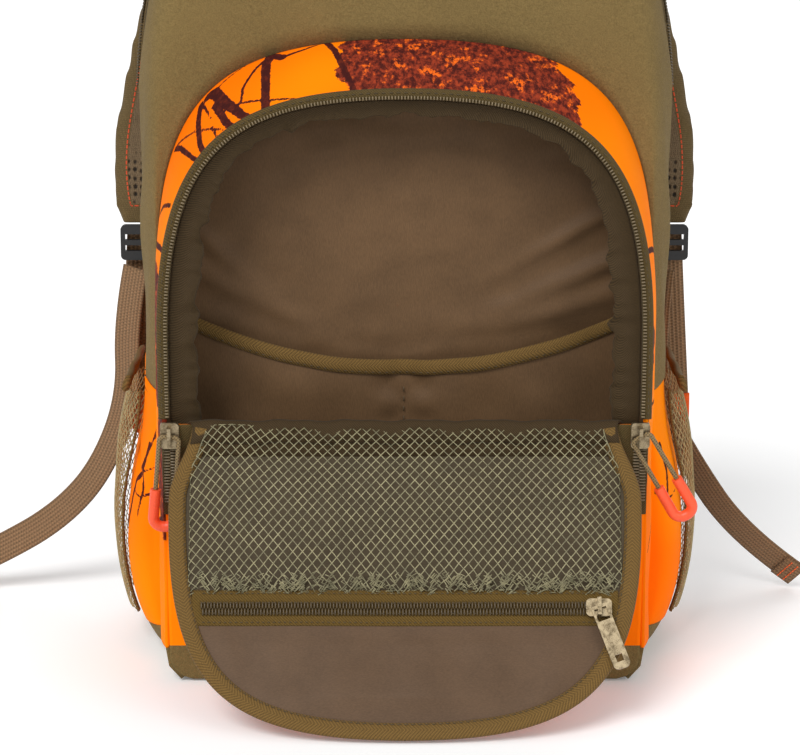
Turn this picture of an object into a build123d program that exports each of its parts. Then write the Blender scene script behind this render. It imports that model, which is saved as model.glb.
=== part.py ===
"""Hunting backpack, about 25 litres, standing on its base with the front flap unzipped and folded down.

Millimetres. +Z is up, -Y is the front, +X is the viewer's right, and the origin is on the ground under the
middle of the base. Soft panels are plain closed solids with the bag's true outer shape.
"""

import os

from build123d import *

os.makedirs("parts", exist_ok=True)

# Main compartment
BODY_TOP = 480.0
FOOT_HALF, HIP_HALF, SHOULDER_HALF = 139.0, 165.0, 153.0  # half widths at the ground, at the hip and above
HIP_Z, WAIST_Z = 72.0, 165.0
SPRING_Z = 312.0  # where the side walls start to curve over into the top
CROWN_HALF = 45.0  # half of the straight run across the top
ARCH_SQUARE = 0.68  # 0.55 is an ellipse, 1 a box
WALL, BASE_THICK = 3.0, 4.0
FRONT_Y, BACK_Y = -45.0, 88.0
# Y, how much narrower and how much lower than the fullest section
STATIONS = ((BACK_Y, 6, 9), (76, 1, 2), (20, 0, 0), (-20, 2, 4), (-36, 6, 14), (FRONT_Y, 12, 34))
SEAM = ((-60.0, 156.0), (-45.0, 159.0), (20.0, 174.0), (110.0, 186.0))  # camouflage below, fleece above

# Main zip, and the lid in front of it
ZIP_Y, ZIP_FOOT_Z, LID_FOLD_Z = -14.0, 332.0, 367.0
GAP = 1.2
COIL_THICK, COIL_WIDE = 2.2, 3.6

# Front pocket
BAND_HALF, BAND_TOP = 141.0, 361.0  # where the orange band meets the main compartment
HINGE_Y, HINGE_Z = -104.0, 155.0
MOUTH_TOP_Y, MOUTH_TOP_Z = -92.0, 332.0
MOUTH_HALF, MOUTH_SPRING, MOUTH_SQUARE = 130.0, 45.0, 0.765
MOUTH_BOW = 8.0
FOOT_Y = -86.0
OPEN_LEAN = 30.0  # the open flap's angle from straight down
FOLD_RUN = 5.0  # plain fabric at the fold
MESH_END, FLAP_ZIP_V = 93.0, 104.0  # along the flap from the fold

# Hardware
WEB_WIDE, WEB_THICK = 20.0, 1.6
CORD_R, TUBE_R = 1.3, 3.0
PAD_THICK, STRAP_THICK = 8.0, 11.0
SIDES = (("left", -1), ("right", 1))


def write(part, name):
    part.label = name
    export_step(part, f"parts/{name}.step")


def at_y(y):
    """The plane that faces the front at Y = y, with X across and Z up."""
    return Plane.XZ.offset(-y)


# ------------------------------------------------------------------ planes
HINGE = Vector(0, HINGE_Y, HINGE_Z)
ACROSS = Vector(1, 0, 0)
MOUTH_RISE = Vector(0, MOUTH_TOP_Y, MOUTH_TOP_Z) - HINGE
MOUTH_LONG = MOUTH_RISE.length
BOW_R = (MOUTH_LONG**2 / 4 + MOUTH_BOW**2) / (2 * MOUTH_BOW)


def from_fold(direction):
    """A plane through the fold: x across, y along direction, z out of the pack's front."""
    return Plane(origin=HINGE, x_dir=ACROSS, z_dir=ACROSS.cross(direction))


MOUTH = from_fold(MOUTH_RISE.normalized())
FLAP = from_fold(Vector(0, 0, -1).rotate(Axis.X, -OPEN_LEAN))
PANEL = from_fold((HINGE - Vector(0, FOOT_Y, 0)).normalized())


# ------------------------------------------------- faces, drawn on the XY plane
def body_face(narrower, lower, low=0.0):
    """The main compartment's section, seen from the front."""
    foot, hip, half = FOOT_HALF - narrower, HIP_HALF - narrower, SHOULDER_HALF - narrower
    top = BODY_TOP - lower
    with BuildSketch() as face:
        with BuildLine():
            Line((0, low), (foot, low))
            Bezier((foot, low), (foot + 15, low + 4), (hip, HIP_Z - 34), (hip, HIP_Z))
            Bezier((hip, HIP_Z), (hip, HIP_Z + 40), (half, WAIST_Z - 40), (half, WAIST_Z))
            Line((half, WAIST_Z), (half, SPRING_Z))
            Bezier(
                (half, SPRING_Z),
                (half, SPRING_Z + ARCH_SQUARE * (top - SPRING_Z)),
                (CROWN_HALF + ARCH_SQUARE * (half - CROWN_HALF), top),
                (CROWN_HALF, top),
            )
            Line((CROWN_HALF, top), (0, top))
            mirror(about=Plane.YZ)
        make_face()
    return face.sketch


def pocket_face(half, top, low=0.0):
    """The front pocket's section: straight sides and a squarish arch."""
    spring = 0.605 * top
    with BuildSketch() as face:
        with BuildLine():
            Line((0, low), (half - 14, low))
            Bezier((half - 14, low), (half - 3, low), (half, low + 8), (half, low + 26))
            Line((half, low + 26), (half, spring))
            Bezier(
                (half, spring),
                (half, spring + MOUTH_SQUARE * (top - spring)),
                (MOUTH_SQUARE * half, top),
                (0, top),
            )
            mirror(about=Plane.YZ)
        make_face()
    return face.sketch


def mouth_face(inset, low=0.0):
    """The mouth's arch from `low` up."""
    half, top = MOUTH_HALF - inset, MOUTH_LONG - inset
    with BuildSketch() as face:
        with BuildLine():
            Line((0, low), (half, low))
            Line((half, low), (half, MOUTH_SPRING))
            Bezier(
                (half, MOUTH_SPRING),
                (half, MOUTH_SPRING + MOUTH_SQUARE * (top - MOUTH_SPRING)),
                (MOUTH_SQUARE * half, top),
                (0, top),
            )
            mirror(about=Plane.YZ)
        make_face()
    return face.sketch


def polygon(*points):
    with BuildSketch() as face:
        Polygon(*points, align=None)
    return face.sketch


def pocket_profile():
    """The front pocket from the side, with Y across and Z up."""
    middle = MOUTH.from_local_coords(Vector(0, MOUTH_LONG / 2, MOUTH_BOW))
    with BuildSketch() as face:
        with BuildLine():
            Polyline((FRONT_Y, 370), (FRONT_Y, 0), (FOOT_Y, 0), (HINGE_Y, HINGE_Z))
            ThreePointArc((HINGE_Y, HINGE_Z), (middle.Y, middle.Z), (MOUTH_TOP_Y, MOUTH_TOP_Z))
            Polyline((MOUTH_TOP_Y, MOUTH_TOP_Z), (MOUTH_TOP_Y + 10.5, 370), (FRONT_Y, 370))
        make_face()
    return face.sketch


# ------------------------------------------------ steps inside a BuildPart
def loft_body(inset, mode=Mode.ADD):
    faces = [at_y(y) * body_face(less + inset, lower + inset) for y, less, lower in STATIONS]
    loft(sections=faces, ruled=True, mode=mode)


def loft_pocket(inset, low=0.0, mode=Mode.ADD):
    back = at_y(FRONT_Y) * pocket_face(BAND_HALF - inset, BAND_TOP - inset, low)
    front = at_y(-114) * pocket_face(133 - inset, 324.5 - inset, low)
    loft(sections=[back, front], ruled=True, mode=mode)


def keep_side_view(face, sign=0):
    """Keeps what a side view's face covers, on one side of the pack or on both."""
    solid = Plane.YZ * face
    if sign:
        extrude(to_extrude=solid, amount=330, dir=(sign, 0, 0), mode=Mode.INTERSECT)
    else:
        extrude(to_extrude=solid, amount=330, both=True, mode=Mode.INTERSECT)


def keep_layer(plane, inner, outer):
    """Keeps what lies between two distances from the bowed surface of the mouth or flap."""
    with BuildSketch() as ring:
        with Locations((MOUTH_LONG / 2, MOUTH_BOW - BOW_R)):
            Circle(BOW_R + outer)
            Circle(BOW_R + inner, mode=Mode.SUBTRACT)
    section = Plane(origin=plane.origin, x_dir=plane.y_dir, z_dir=plane.x_dir)
    extrude(to_extrude=section * ring.sketch, amount=170, both=True, mode=Mode.INTERSECT)


def edge_strip(plane, outer_inset, inner_inset, low, inner, outer):
    """A strip round the arch of the mouth or flap, open at the fold."""
    extrude(to_extrude=plane * mouth_face(outer_inset, low), amount=50, both=True)
    extrude(to_extrude=plane * mouth_face(inner_inset, low - 5), amount=50, both=True, mode=Mode.SUBTRACT)
    keep_layer(plane, inner, outer)


def arch_panel(plane, inset, low, inner, outer):
    extrude(to_extrude=plane * mouth_face(inset, low), amount=50, both=True)
    keep_layer(plane, inner, outer)


def block(plane, across, along, out):
    """A box on a plane, given as (from, to) in x, y and z."""
    with BuildSketch() as face:
        with Locations(((across[0] + across[1]) / 2, (along[0] + along[1]) / 2)):
            Rectangle(across[1] - across[0], along[1] - along[0])
    return plane.offset(out[0]) * face.sketch, out[1] - out[0]


def add_block(plane, across, along, out, mode=Mode.ADD):
    face, height = block(plane, across, along, out)
    extrude(to_extrude=face, amount=height, mode=mode)


def turned(plane, degrees):
    """A plane turned about its own z axis."""
    x_dir = plane.x_dir.rotate(Axis((0, 0, 0), plane.z_dir), degrees)
    return Plane(origin=plane.origin, x_dir=x_dir, z_dir=plane.z_dir)


def corners(builder, plane):
    """The edges that stand square to a plane."""
    return builder.edges().filter_by(Axis((0, 0, 0), plane.z_dir))


# --------------------------------------------- construction solids, not written
with BuildPart() as shell:
    loft_body(0)
    loft_body(WALL, mode=Mode.SUBTRACT)

with BuildPart() as pocket_shell:
    loft_pocket(0)
    loft_pocket(WALL, low=BASE_THICK, mode=Mode.SUBTRACT)
    keep_side_view(pocket_profile())

with BuildPart() as pocket_core:
    loft_pocket(WALL, low=BASE_THICK)

with BuildPart() as body_foot:
    add(shell.part)
    keep_side_view(polygon((-60, 0), (110, 0), (110, 20), (-60, 20)))

with BuildPart() as pocket_foot:
    add(pocket_shell.part)
    keep_side_view(polygon((-130, 0), (FRONT_Y, 0), (FRONT_Y, 20), (-130, 20)))

# ---------------------------------------------------------- main compartment
with BuildPart() as base_panel:
    loft_body(0)
    keep_side_view(polygon((-60, 0), (110, 0), (110, BASE_THICK), (-60, BASE_THICK)))
    add(body_foot.part)
    add(pocket_foot.part)
write(base_panel.part, "base_panel")

divider_face = pocket_face(BAND_HALF - WALL, BAND_TOP - WALL)
for side, sign in SIDES:
    with BuildPart() as lower_side:
        extrude(to_extrude=at_y(FRONT_Y) * body_face(12, 34), amount=-WALL)
        extrude(to_extrude=at_y(FRONT_Y) * divider_face, amount=-WALL, mode=Mode.SUBTRACT)
        keep_side_view(polygon((-60, 30), (0, 30), (0, 150), (-60, 150)))
        add(shell.part)
        keep_side_view(polygon((-60, 20), (110, 20), *reversed(SEAM)), sign)
    write(lower_side.part, f"lower_side_{side}")

    with BuildPart() as upper_side:
        add(shell.part)
        front = ZIP_Y - GAP / 2
        steps = ((110, ZIP_FOOT_Z), (front, ZIP_FOOT_Z), (front, LID_FOLD_Z - GAP), (-60, LID_FOLD_Z - GAP))
        keep_side_view(polygon(*SEAM, *steps), sign)
    write(upper_side.part, f"upper_side_{side}")

with BuildPart() as top_panel:
    add(shell.part)
    back = ZIP_Y + GAP / 2
    keep_side_view(polygon((back, ZIP_FOOT_Z), (110, ZIP_FOOT_Z), (110, 500), (back, 500)))
write(top_panel.part, "top_panel")

with BuildPart() as back_panel:
    extrude(to_extrude=at_y(BACK_Y) * body_face(6, 9), amount=-4)
write(back_panel.part, "back_panel")

with BuildPart() as front_surround:
    extrude(to_extrude=at_y(FRONT_Y) * body_face(12 + WALL, 34 + WALL), amount=-WALL)
    extrude(to_extrude=at_y(FRONT_Y) * divider_face, amount=-WALL, mode=Mode.SUBTRACT)
    keep_side_view(polygon((-60, 222), (0, 222), (0, LID_FOLD_Z - GAP), (-60, LID_FOLD_Z - GAP)))
write(front_surround.part, "front_surround")

with BuildPart() as divider_panel:
    inner_face = pocket_face(BAND_HALF - WALL, BAND_TOP - WALL, BASE_THICK)
    extrude(to_extrude=at_y(FRONT_Y) * inner_face, amount=-WALL)
write(divider_panel.part, "divider_panel")

# Lid: the front of the main compartment above the front pocket
with BuildPart() as lid_panel:
    add(shell.part)
    extrude(to_extrude=at_y(FRONT_Y) * body_face(12, 34), amount=-WALL)
    keep_side_view(polygon((-60, LID_FOLD_Z), (front, LID_FOLD_Z), (front, 500), (-60, 500)))
write(lid_panel.part, "lid_panel")

# Main zip: one row on the pack, which runs down past the lid's fold, and one on the lid
ROWS = (
    ("main_zip_coil", back, back + COIL_WIDE, ZIP_FOOT_Z),
    ("lid_zip_coil", front - COIL_WIDE, front, LID_FOLD_Z),
)
for name, near, far, low in ROWS:
    with BuildPart() as coil:
        loft_body(-COIL_THICK)
        loft_body(0, mode=Mode.SUBTRACT)
        keep_side_view(polygon((near, low), (far, low), (far, 500), (near, 500)))
    write(coil.part, name)

# -------------------------------------------------------------- front pocket
for side, sign in SIDES:
    with BuildPart() as gusset:
        add(pocket_shell.part)
        keep_side_view(polygon((-130, 20), (FRONT_Y, 20), (FRONT_Y, 205), (-130, 205)), sign)
    write(gusset.part, f"gusset_{side}")

with BuildPart() as gusset_top:
    add(pocket_shell.part)
    keep_side_view(polygon((-130, 205), (FRONT_Y, 205), (FRONT_Y, 380), (-130, 380)))
write(gusset_top.part, "gusset_top")

with BuildPart() as lower_front_panel:
    add(pocket_core.part)
    keep_side_view(polygon((FOOT_Y, 0), (HINGE_Y, HINGE_Z), (HINGE_Y + 3, HINGE_Z), (FOOT_Y + 3, 0)))
    keep_side_view(polygon((-130, 20), (0, 20), (0, HINGE_Z - 3), (-130, HINGE_Z - 3)))
write(lower_front_panel.part, "lower_front_panel")

with BuildPart() as organizer_pocket:
    with BuildSketch() as face:
        with BuildLine():
            Polyline((-122, 196), (-122, 8), (122, 8), (122, 196))
            Bezier((122, 196), (60, 161), (-60, 161), (-122, 196))
        make_face()
    extrude(to_extrude=at_y(-53) * face.sketch, amount=1.2)
write(organizer_pocket.part, "organizer_pocket")

with BuildPart() as organizer_binding:
    with BuildSketch() as face:
        with BuildLine():
            Bezier((-123, 206), (-60, 171), (60, 171), (123, 206))
            Line((123, 206), (123, 197))
            Bezier((123, 197), (60, 162), (-60, 162), (-123, 197))
            Line((-123, 197), (-123, 206))
        make_face()
    extrude(to_extrude=at_y(-52.4) * face.sketch, amount=2.4)
write(organizer_binding.part, "organizer_binding")

with BuildPart() as zip_facing:
    edge_strip(MOUTH, 0.2, 11, 4, -5, -3.8)
write(zip_facing.part, "zip_facing")

with BuildPart() as front_zip_coil:
    edge_strip(MOUTH, -COIL_WIDE, 0, 7, 0, COIL_THICK)
write(front_zip_coil.part, "front_zip_coil")

for side, sign in SIDES:
    middle = sign * MOUTH_HALF
    with BuildPart() as chain:
        add_block(PANEL, (middle - 3.8, middle + 3.8), (-46, -5), (0, COIL_THICK))
    write(chain.part, f"front_zip_chain_{side}")

# --------------------------------------------------- front flap, hanging open
FLAP_EDGE = 0.7

with BuildPart() as flap_notch:
    for sign in (-1, 1):
        outline = ((116, -10), (140, -10), (140, 42), (129.6, 42), (120, 20))
        notch = polygon(*((sign * x, v) for x, v in outline))
        extrude(to_extrude=FLAP * notch, amount=30, both=True)


def trim_corners():
    add(flap_notch.part, mode=Mode.SUBTRACT)


with BuildPart() as flap_panel:
    arch_panel(FLAP, FLAP_EDGE, FOLD_RUN, -1, 1)
    trim_corners()
write(flap_panel.part, "flap_panel")

with BuildPart() as flap_binding:
    edge_strip(FLAP, FLAP_EDGE, 10, FOLD_RUN, -2.6, -1)
    trim_corners()
write(flap_binding.part, "flap_binding")

with BuildPart() as flap_edge_coil:
    edge_strip(FLAP, 0.6, 0.6 + COIL_WIDE, 42, 1, 1 + COIL_THICK)
write(flap_edge_coil.part, "flap_edge_coil")

with BuildPart() as flap_mesh:
    with BuildSketch() as face:
        with BuildLine():
            ThreePointArc((FOLD_RUN, -2), (48, -11), (MESH_END, -1 + 6.6))
            Line((MESH_END, 5.6), (MESH_END, 4.6))
            ThreePointArc((MESH_END, 4.6), (48, -12), (FOLD_RUN, -3))
            Line((FOLD_RUN, -3), (FOLD_RUN, -2))
        make_face()
    section = Plane(origin=FLAP.origin, x_dir=FLAP.y_dir, z_dir=FLAP.x_dir)
    extrude(to_extrude=section * face.sketch, amount=110, both=True)
write(flap_mesh.part, "flap_mesh")

with BuildPart() as flap_zip_tape:
    add_block(FLAP, (-110.5, 110.5), (FLAP_ZIP_V - 10.5, FLAP_ZIP_V + 9), (-10, 20))
    keep_layer(FLAP, -2.2, -1)
write(flap_zip_tape.part, "flap_zip_tape")

with BuildPart() as flap_zip_coil:
    add_block(FLAP, (-110.5, 110.5), (FLAP_ZIP_V - 3.5, FLAP_ZIP_V + 3.5), (-10, 20))
    keep_layer(FLAP, -3.9, -2.2)
write(flap_zip_coil.part, "flap_zip_coil")

# The flap's zip slider rides over the coil; its pull hangs from the bridge
RUN_V = (FLAP_ZIP_V - MOUTH_LONG / 2) / (MOUTH_LONG / 2)
COIL_W = MOUTH_BOW * (1 - RUN_V**2) - 3.9  # top of the coil, counted out of the pack's front
FLAP_SLIDER_X = 105.0
SLIDER = FLAP.offset(COIL_W)
with BuildPart() as flap_zip_slider:
    middle = FLAP_SLIDER_X
    add_block(SLIDER, (middle - 7, middle + 7), (FLAP_ZIP_V - 4.9, FLAP_ZIP_V + 4.9), (-2, 1.3))
    fillet(corners(flap_zip_slider, FLAP), 2.5)
    tunnel = (FLAP_ZIP_V - 3.9, FLAP_ZIP_V + 3.9)
    add_block(SLIDER, (middle - 9, middle + 9), tunnel, (-0.4, 2), Mode.SUBTRACT)
    add_block(SLIDER, (middle - 1.1, middle + 1.1), (FLAP_ZIP_V - 4.9, FLAP_ZIP_V + 4.9), (-6.2, -2))
    add_block(SLIDER, (middle - 3, middle + 3), (FLAP_ZIP_V - 3.6, FLAP_ZIP_V + 3.6), (-5, -2), Mode.SUBTRACT)
write(flap_zip_slider.part, "flap_zip_slider")

PULL_TILT, PULL_LONG, PULL_WIDE = 20.0, 36.0, 9.4
PULL_PIVOT = SLIDER.from_local_coords(Vector(FLAP_SLIDER_X, FLAP_ZIP_V, -3.4))
with BuildPart() as flap_zip_pull:
    tab = turned(Plane(origin=PULL_PIVOT, x_dir=FLAP.x_dir, z_dir=FLAP.z_dir), -PULL_TILT)
    add_block(tab, (-PULL_WIDE / 2, PULL_WIDE / 2), (-0.9, PULL_LONG), (-0.75, 0.75))
    fillet(corners(flap_zip_pull, tab).sort_by(Axis.Z)[:2], 3)
    add_block(tab, (-3.4, 3.4), (0.9, 8), (-2, 2), Mode.SUBTRACT)
    add_block(tab, (-2, 2), (28, 32), (-2, 2), Mode.SUBTRACT)
write(flap_zip_pull.part, "flap_zip_pull")


# ------------------------------------------- sliders with cord and rubber pulls
def cord_pull_route(plane, middle, along, out, lean):
    """The plane of a pull that hangs from a slider's bridge: x across it and -y down it."""
    pivot = plane.from_local_coords(Vector(middle, along, out))
    return turned(Plane(origin=pivot, x_dir=plane.x_dir, z_dir=plane.z_dir), lean)


def cord_loop(pull, reach):
    with BuildLine(pull) as line:
        FilletPolyline((-5.6, -reach), (-5.4, 0), (5.4, 0), (5.6, -reach), radius=2.6)
    with BuildSketch(Plane(origin=line.line @ 0, z_dir=line.line % 0)) as section:
        Circle(CORD_R)
    sweep(sections=section.sketch, path=line.line)


def rubber_loop(pull, start, end):
    with BuildLine(pull) as line:
        FilletPolyline((-5.6, -start), (-5.9, -end), (5.9, -end), (5.6, -start), radius=5.3)
    with BuildSketch(Plane(origin=line.line @ 0, z_dir=line.line % 0)) as section:
        Circle(TUBE_R)
    sweep(sections=section.sketch, path=line.line)


TUBE_START, TUBE_END = 31.0, 53.0
FRONT_LEAN = {"left": -5.0, "right": 30.0}  # how far each pull leans out to the right
for side, sign in SIDES:
    middle, top = sign * MOUTH_HALF, 1.0
    with BuildPart() as slider:
        add_block(PANEL, (middle - 5.2, middle + 5.2), (top - 15, top), (0.5, 4.2))
        fillet(corners(slider, PANEL), 2.4)
        add_block(PANEL, (middle - 4.2, middle + 4.2), (top - 20, top + 5), (0, 2.6), Mode.SUBTRACT)
        add_block(PANEL, (middle - 1, middle + 1), (top - 13.2, top - 1.8), (4.2, 9))
        add_block(PANEL, (middle - 3, middle + 3), (top - 11.6, top - 3.4), (4.2, 7.8), Mode.SUBTRACT)
    write(slider.part, f"front_slider_{side}")

    pull = cord_pull_route(PANEL, middle, top - 7.5, 6.1, FRONT_LEAN[side])
    with BuildPart() as cord:
        cord_loop(pull, TUBE_START)
    write(cord.part, f"front_pull_cord_{side}")
    with BuildPart() as tube:
        rubber_loop(pull, TUBE_START + 0.2, TUBE_END)
    write(tube.part, f"front_pull_tube_{side}")

# The main zip's two sliders meet at the middle of the crown, on the pack's row
for side, sign in SIDES:
    middle = sign * 14.0
    top_plane = Plane(origin=(middle, back + 5.2, BODY_TOP + 0.3), x_dir=(0, sign, 0), z_dir=(0, 0, 1))
    with BuildPart() as slider:
        add_block(top_plane, (-4.8, 4.8), (-7.5, 7.5), (0, 1.6))
        fillet(corners(slider, top_plane), 2.4)
        add_block(top_plane, (-1, 1), (-6.5, 6.5), (1.6, 6.4))
        add_block(top_plane, (-3, 3), (-4.9, 4.9), (1.6, 5.2), Mode.SUBTRACT)
    write(slider.part, f"main_slider_{side}")
    pull = Plane(origin=(middle, back + 5.2, BODY_TOP + 3.7), x_dir=(0, sign, 0), z_dir=(0, 0, 1))
    with BuildPart() as cord:
        cord_loop(pull, TUBE_START)
    write(cord.part, f"main_pull_cord_{side}")
    with BuildPart() as tube:
        rubber_loop(pull, TUBE_START + 0.2, TUBE_END)
    write(tube.part, f"main_pull_tube_{side}")

# ------------------------------------------------------------- back and straps
for side, sign in SIDES:
    with BuildPart() as back_pad:
        with BuildSketch(at_y(BACK_Y + 4)):
            with Locations((sign * 62, 270)):
                RectangleRounded(84, 250, 26)
        extrude(amount=-PAD_THICK)
        fillet(back_pad.faces().sort_by(Axis.Y)[-1].edges(), 3)
    write(back_pad.part, f"back_pad_{side}")

with BuildPart() as lumbar_pad:
    with BuildSketch(at_y(BACK_Y + 4)):
        with Locations((0, 84)):
            RectangleRounded(216, 96, 30)
    extrude(amount=-PAD_THICK)
    fillet(lumbar_pad.faces().sort_by(Axis.Y)[-1].edges(), 3)
write(lumbar_pad.part, "lumbar_pad")

STRAP_BOW, STRAP_TOP, STRAP_FOOT = 30.0, 452.0, 234.0
STRAP_TOP_Y, STRAP_FOOT_Y = 92.5, 104.0  # its front face at each end


def strap_layer(inner, outer):
    """Keeps a layer of the bowed strap, counted back from its front face."""
    top, foot = Vector(STRAP_TOP_Y, STRAP_TOP), Vector(STRAP_FOOT_Y, STRAP_FOOT)
    half = (top - foot).length / 2
    radius = (half**2 + STRAP_BOW**2) / (2 * STRAP_BOW)
    outward = (top - foot).normalized().rotate(Axis.Z, -90)
    with BuildSketch() as ring:
        with Locations((top + foot) / 2 + outward * (STRAP_BOW - radius)):
            Circle(radius + outer)
            Circle(radius + inner, mode=Mode.SUBTRACT)
    extrude(to_extrude=Plane.YZ * ring.sketch, amount=200, both=True, mode=Mode.INTERSECT)


def strap_face(sign):
    """A shoulder strap's outline from the front."""
    with BuildSketch() as face:
        with BuildLine():
            Line((sign * 46, STRAP_TOP), (sign * 98, STRAP_TOP))
            Bezier((sign * 98, STRAP_TOP), (sign * 146, 440), (sign * 164, 385), (sign * 180, 300))
            Bezier((sign * 180, 300), (sign * 186, 268), (sign * 182, 245), (sign * 177, STRAP_FOOT))
            Line((sign * 177, STRAP_FOOT), (sign * 150, STRAP_FOOT))
            Bezier((sign * 150, STRAP_FOOT), (sign * 130, 262), (sign * 114, 300), (sign * 103, 330))
            Bezier((sign * 103, 330), (sign * 88, 372), (sign * 50, 400), (sign * 46, STRAP_TOP))
        make_face()
    return face.sketch


for side, sign in SIDES:
    with BuildPart() as strap:
        extrude(to_extrude=at_y(86) * strap_face(sign), amount=84, dir=(0, 1, 0))
        strap_layer(0, STRAP_THICK)
    write(strap.part, f"shoulder_strap_{side}")

    # A ladder lock: a frame with two slots, one for each pass of the webbing
    lock = Plane(origin=(sign * 163.5, 106, 222), x_dir=(1, 0, 0), z_dir=(0, -1, 0))
    with BuildPart() as ladder_lock:
        add_block(lock, (-13, 13), (-11, 11), (-2.2, 2.2))
        fillet(corners(ladder_lock, lock), 3)
        add_block(lock, (-10.4, 10.4), (1.7, 5.2), (-3, 3), Mode.SUBTRACT)
        add_block(lock, (-10.4, 10.4), (-5.2, -1.7), (-3, 3), Mode.SUBTRACT)
    write(ladder_lock.part, f"ladder_lock_{side}")

    with BuildPart() as adjuster_web:
        run = turned(Plane(origin=(sign * 163.5, 109.2, 216), x_dir=(1, 0, 0), z_dir=(0, -1, 0)), sign * 3.5)
        add_block(run, (-10, 10), (-96, 14), (-0.8, 0.8))
    write(adjuster_web.part, f"adjuster_web_{side}")

    with BuildPart() as anchor_wing:
        outline = ((112, 88), (150, 90), (164, 96), (181, 112), (179, 126), (158, 124), (112, 120))
        wing = polygon(*((sign * x, z) for x, z in outline))
        extrude(to_extrude=at_y(108.2) * wing, amount=2.2, dir=(0, -1, 0))
        seam = polygon((sign * 112, 88), (sign * 126, 88.7), (sign * 126, 120.9), (sign * 112, 120))
        extrude(to_extrude=at_y(BACK_Y + 4) * seam, amount=16.2, dir=(0, 1, 0))
    write(anchor_wing.part, f"anchor_wing_{side}")

# The free ends of the adjusting webbing, standing on edge and leaning back
TAIL_LEAN = 35.0
TAIL_Y = 99.0
TAIL_ROUTES = {
    "left": ((-167, 207), (-174, 172), (-173, 124), (-191, 78), (-218, 48), (-257, 25), (-292, 9.2)),
    "right": ((159, 207), (155, 168), (158, 124), (178, 86), (212, 36), (250, 9.2)),
}
for side, route in TAIL_ROUTES.items():
    with BuildPart() as tail:
        with BuildLine() as line:
            points = [(x, TAIL_Y, z) for x, z in route]
            FilletPolyline(*points, radius=26)
        start = Plane(origin=line.line @ 0, x_dir=(0, 1, 0), z_dir=line.line % 0)
        with BuildSketch(start) as section:
            Rectangle(WEB_THICK, WEB_WIDE, rotation=TAIL_LEAN)
        sweep(sections=section.sketch, path=line.line)
    write(tail.part, f"adjuster_tail_{side}")

with BuildPart() as haul_loop:
    with BuildSketch() as face:
        with BuildLine():
            Bezier((-42, 446), (-40, 512), (40, 512), (42, 446))
            Line((42, 446), (39, 446))
            Bezier((39, 446), (37, 508), (-37, 508), (-39, 446))
            Line((-39, 446), (-42, 446))
        make_face()
    extrude(to_extrude=at_y(BACK_Y + 4) * face.sketch, amount=12, dir=(0, 1, 0))
write(haul_loop.part, "haul_loop")

# --------------------------------------------------------- side mesh pockets
for side, sign in SIDES:
    with BuildPart() as side_pocket:
        with BuildSketch() as face:
            with BuildLine():
                Line((sign * 160.5, 24), (sign * 166, 20))
                Bezier((sign * 166, 20), (sign * 176, 50), (sign * 178, 110), (sign * 163, 156))
                Line((sign * 163, 156), (sign * 162, 155.6))
                Bezier((sign * 162, 155.6), (sign * 176.6, 110), (sign * 174.6, 52), (sign * 165, 22.5))
                Line((sign * 165, 22.5), (sign * 160.5, 24))
            make_face()
        extrude(to_extrude=at_y(-22) * face.sketch, amount=88, dir=(0, 1, 0))
    write(side_pocket.part, f"side_pocket_{side}")

    with BuildPart() as hem:
        face = polygon((sign * 161.5, 156.2), (sign * 164, 156.2), (sign * 161.5, 164), (sign * 159, 164))
        extrude(to_extrude=at_y(-23) * face, amount=90, dir=(0, 1, 0))
    write(hem.part, f"side_pocket_hem_{side}")
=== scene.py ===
"""A hunting backpack in olive fleece and blaze camouflage, its front flap unzipped and folded down."""

import math
import random

import bpy
import numpy as np
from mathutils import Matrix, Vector, noise
from mathutils.kdtree import KDTree


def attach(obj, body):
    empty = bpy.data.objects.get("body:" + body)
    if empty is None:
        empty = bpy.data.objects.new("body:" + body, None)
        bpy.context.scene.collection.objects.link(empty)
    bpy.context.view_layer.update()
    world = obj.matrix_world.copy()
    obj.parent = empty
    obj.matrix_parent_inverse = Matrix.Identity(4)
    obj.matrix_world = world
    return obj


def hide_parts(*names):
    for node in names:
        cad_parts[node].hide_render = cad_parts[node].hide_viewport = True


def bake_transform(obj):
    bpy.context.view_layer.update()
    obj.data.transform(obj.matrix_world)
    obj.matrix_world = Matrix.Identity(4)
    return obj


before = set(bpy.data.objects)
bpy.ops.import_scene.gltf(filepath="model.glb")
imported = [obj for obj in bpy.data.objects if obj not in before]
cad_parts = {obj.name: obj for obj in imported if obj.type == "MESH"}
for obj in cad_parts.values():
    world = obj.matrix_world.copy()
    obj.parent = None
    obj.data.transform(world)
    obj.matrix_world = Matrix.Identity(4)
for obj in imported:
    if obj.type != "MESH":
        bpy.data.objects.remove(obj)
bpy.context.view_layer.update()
MM = 0.001

# ---------------- sizes, in millimetres as in the CAD
HINGE = np.array((0.0, -104.0, 155.0))
MOUTH_HALF, MOUTH_SPRING, MOUTH_SQUARE = 130.0, 45.0, 0.765
BOW = 8.0
FRONT_Y = -45.0
BAND_HALF, BAND_TOP = 141.0, 361.0
FOOT_Z = 20.0
STATION_Y = (-45.0, -36.0, -20.0, 20.0, 76.0, 88.0)
STATION_NARROWER = (12.0, 6.0, 2.0, 0.0, 1.0, 6.0)
STATION_LOWER = (34.0, 14.0, 4.0, 0.0, 2.0, 9.0)
SEAM_Y, SEAM_Z = (-60.0, -45.0, 20.0, 110.0), (156.0, 159.0, 174.0, 186.0)
MESH_END, FLAP_ZIP_V = 93.0, 104.0


def unit(v):
    v = np.array(v, float)
    return v / np.linalg.norm(v)


def bezier(points, n):
    """n + 1 points on a cubic curve."""
    t = np.linspace(0, 1, n + 1)[:, None]
    a, b, c, d = np.array(points, float)
    return (1 - t) ** 3 * a + 3 * (1 - t) ** 2 * t * b + 3 * (1 - t) * t**2 * c + t**3 * d


def chain(*runs):
    """Curves joined end to end."""
    return np.concatenate([runs[0]] + [run[1:] for run in runs[1:]])


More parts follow.
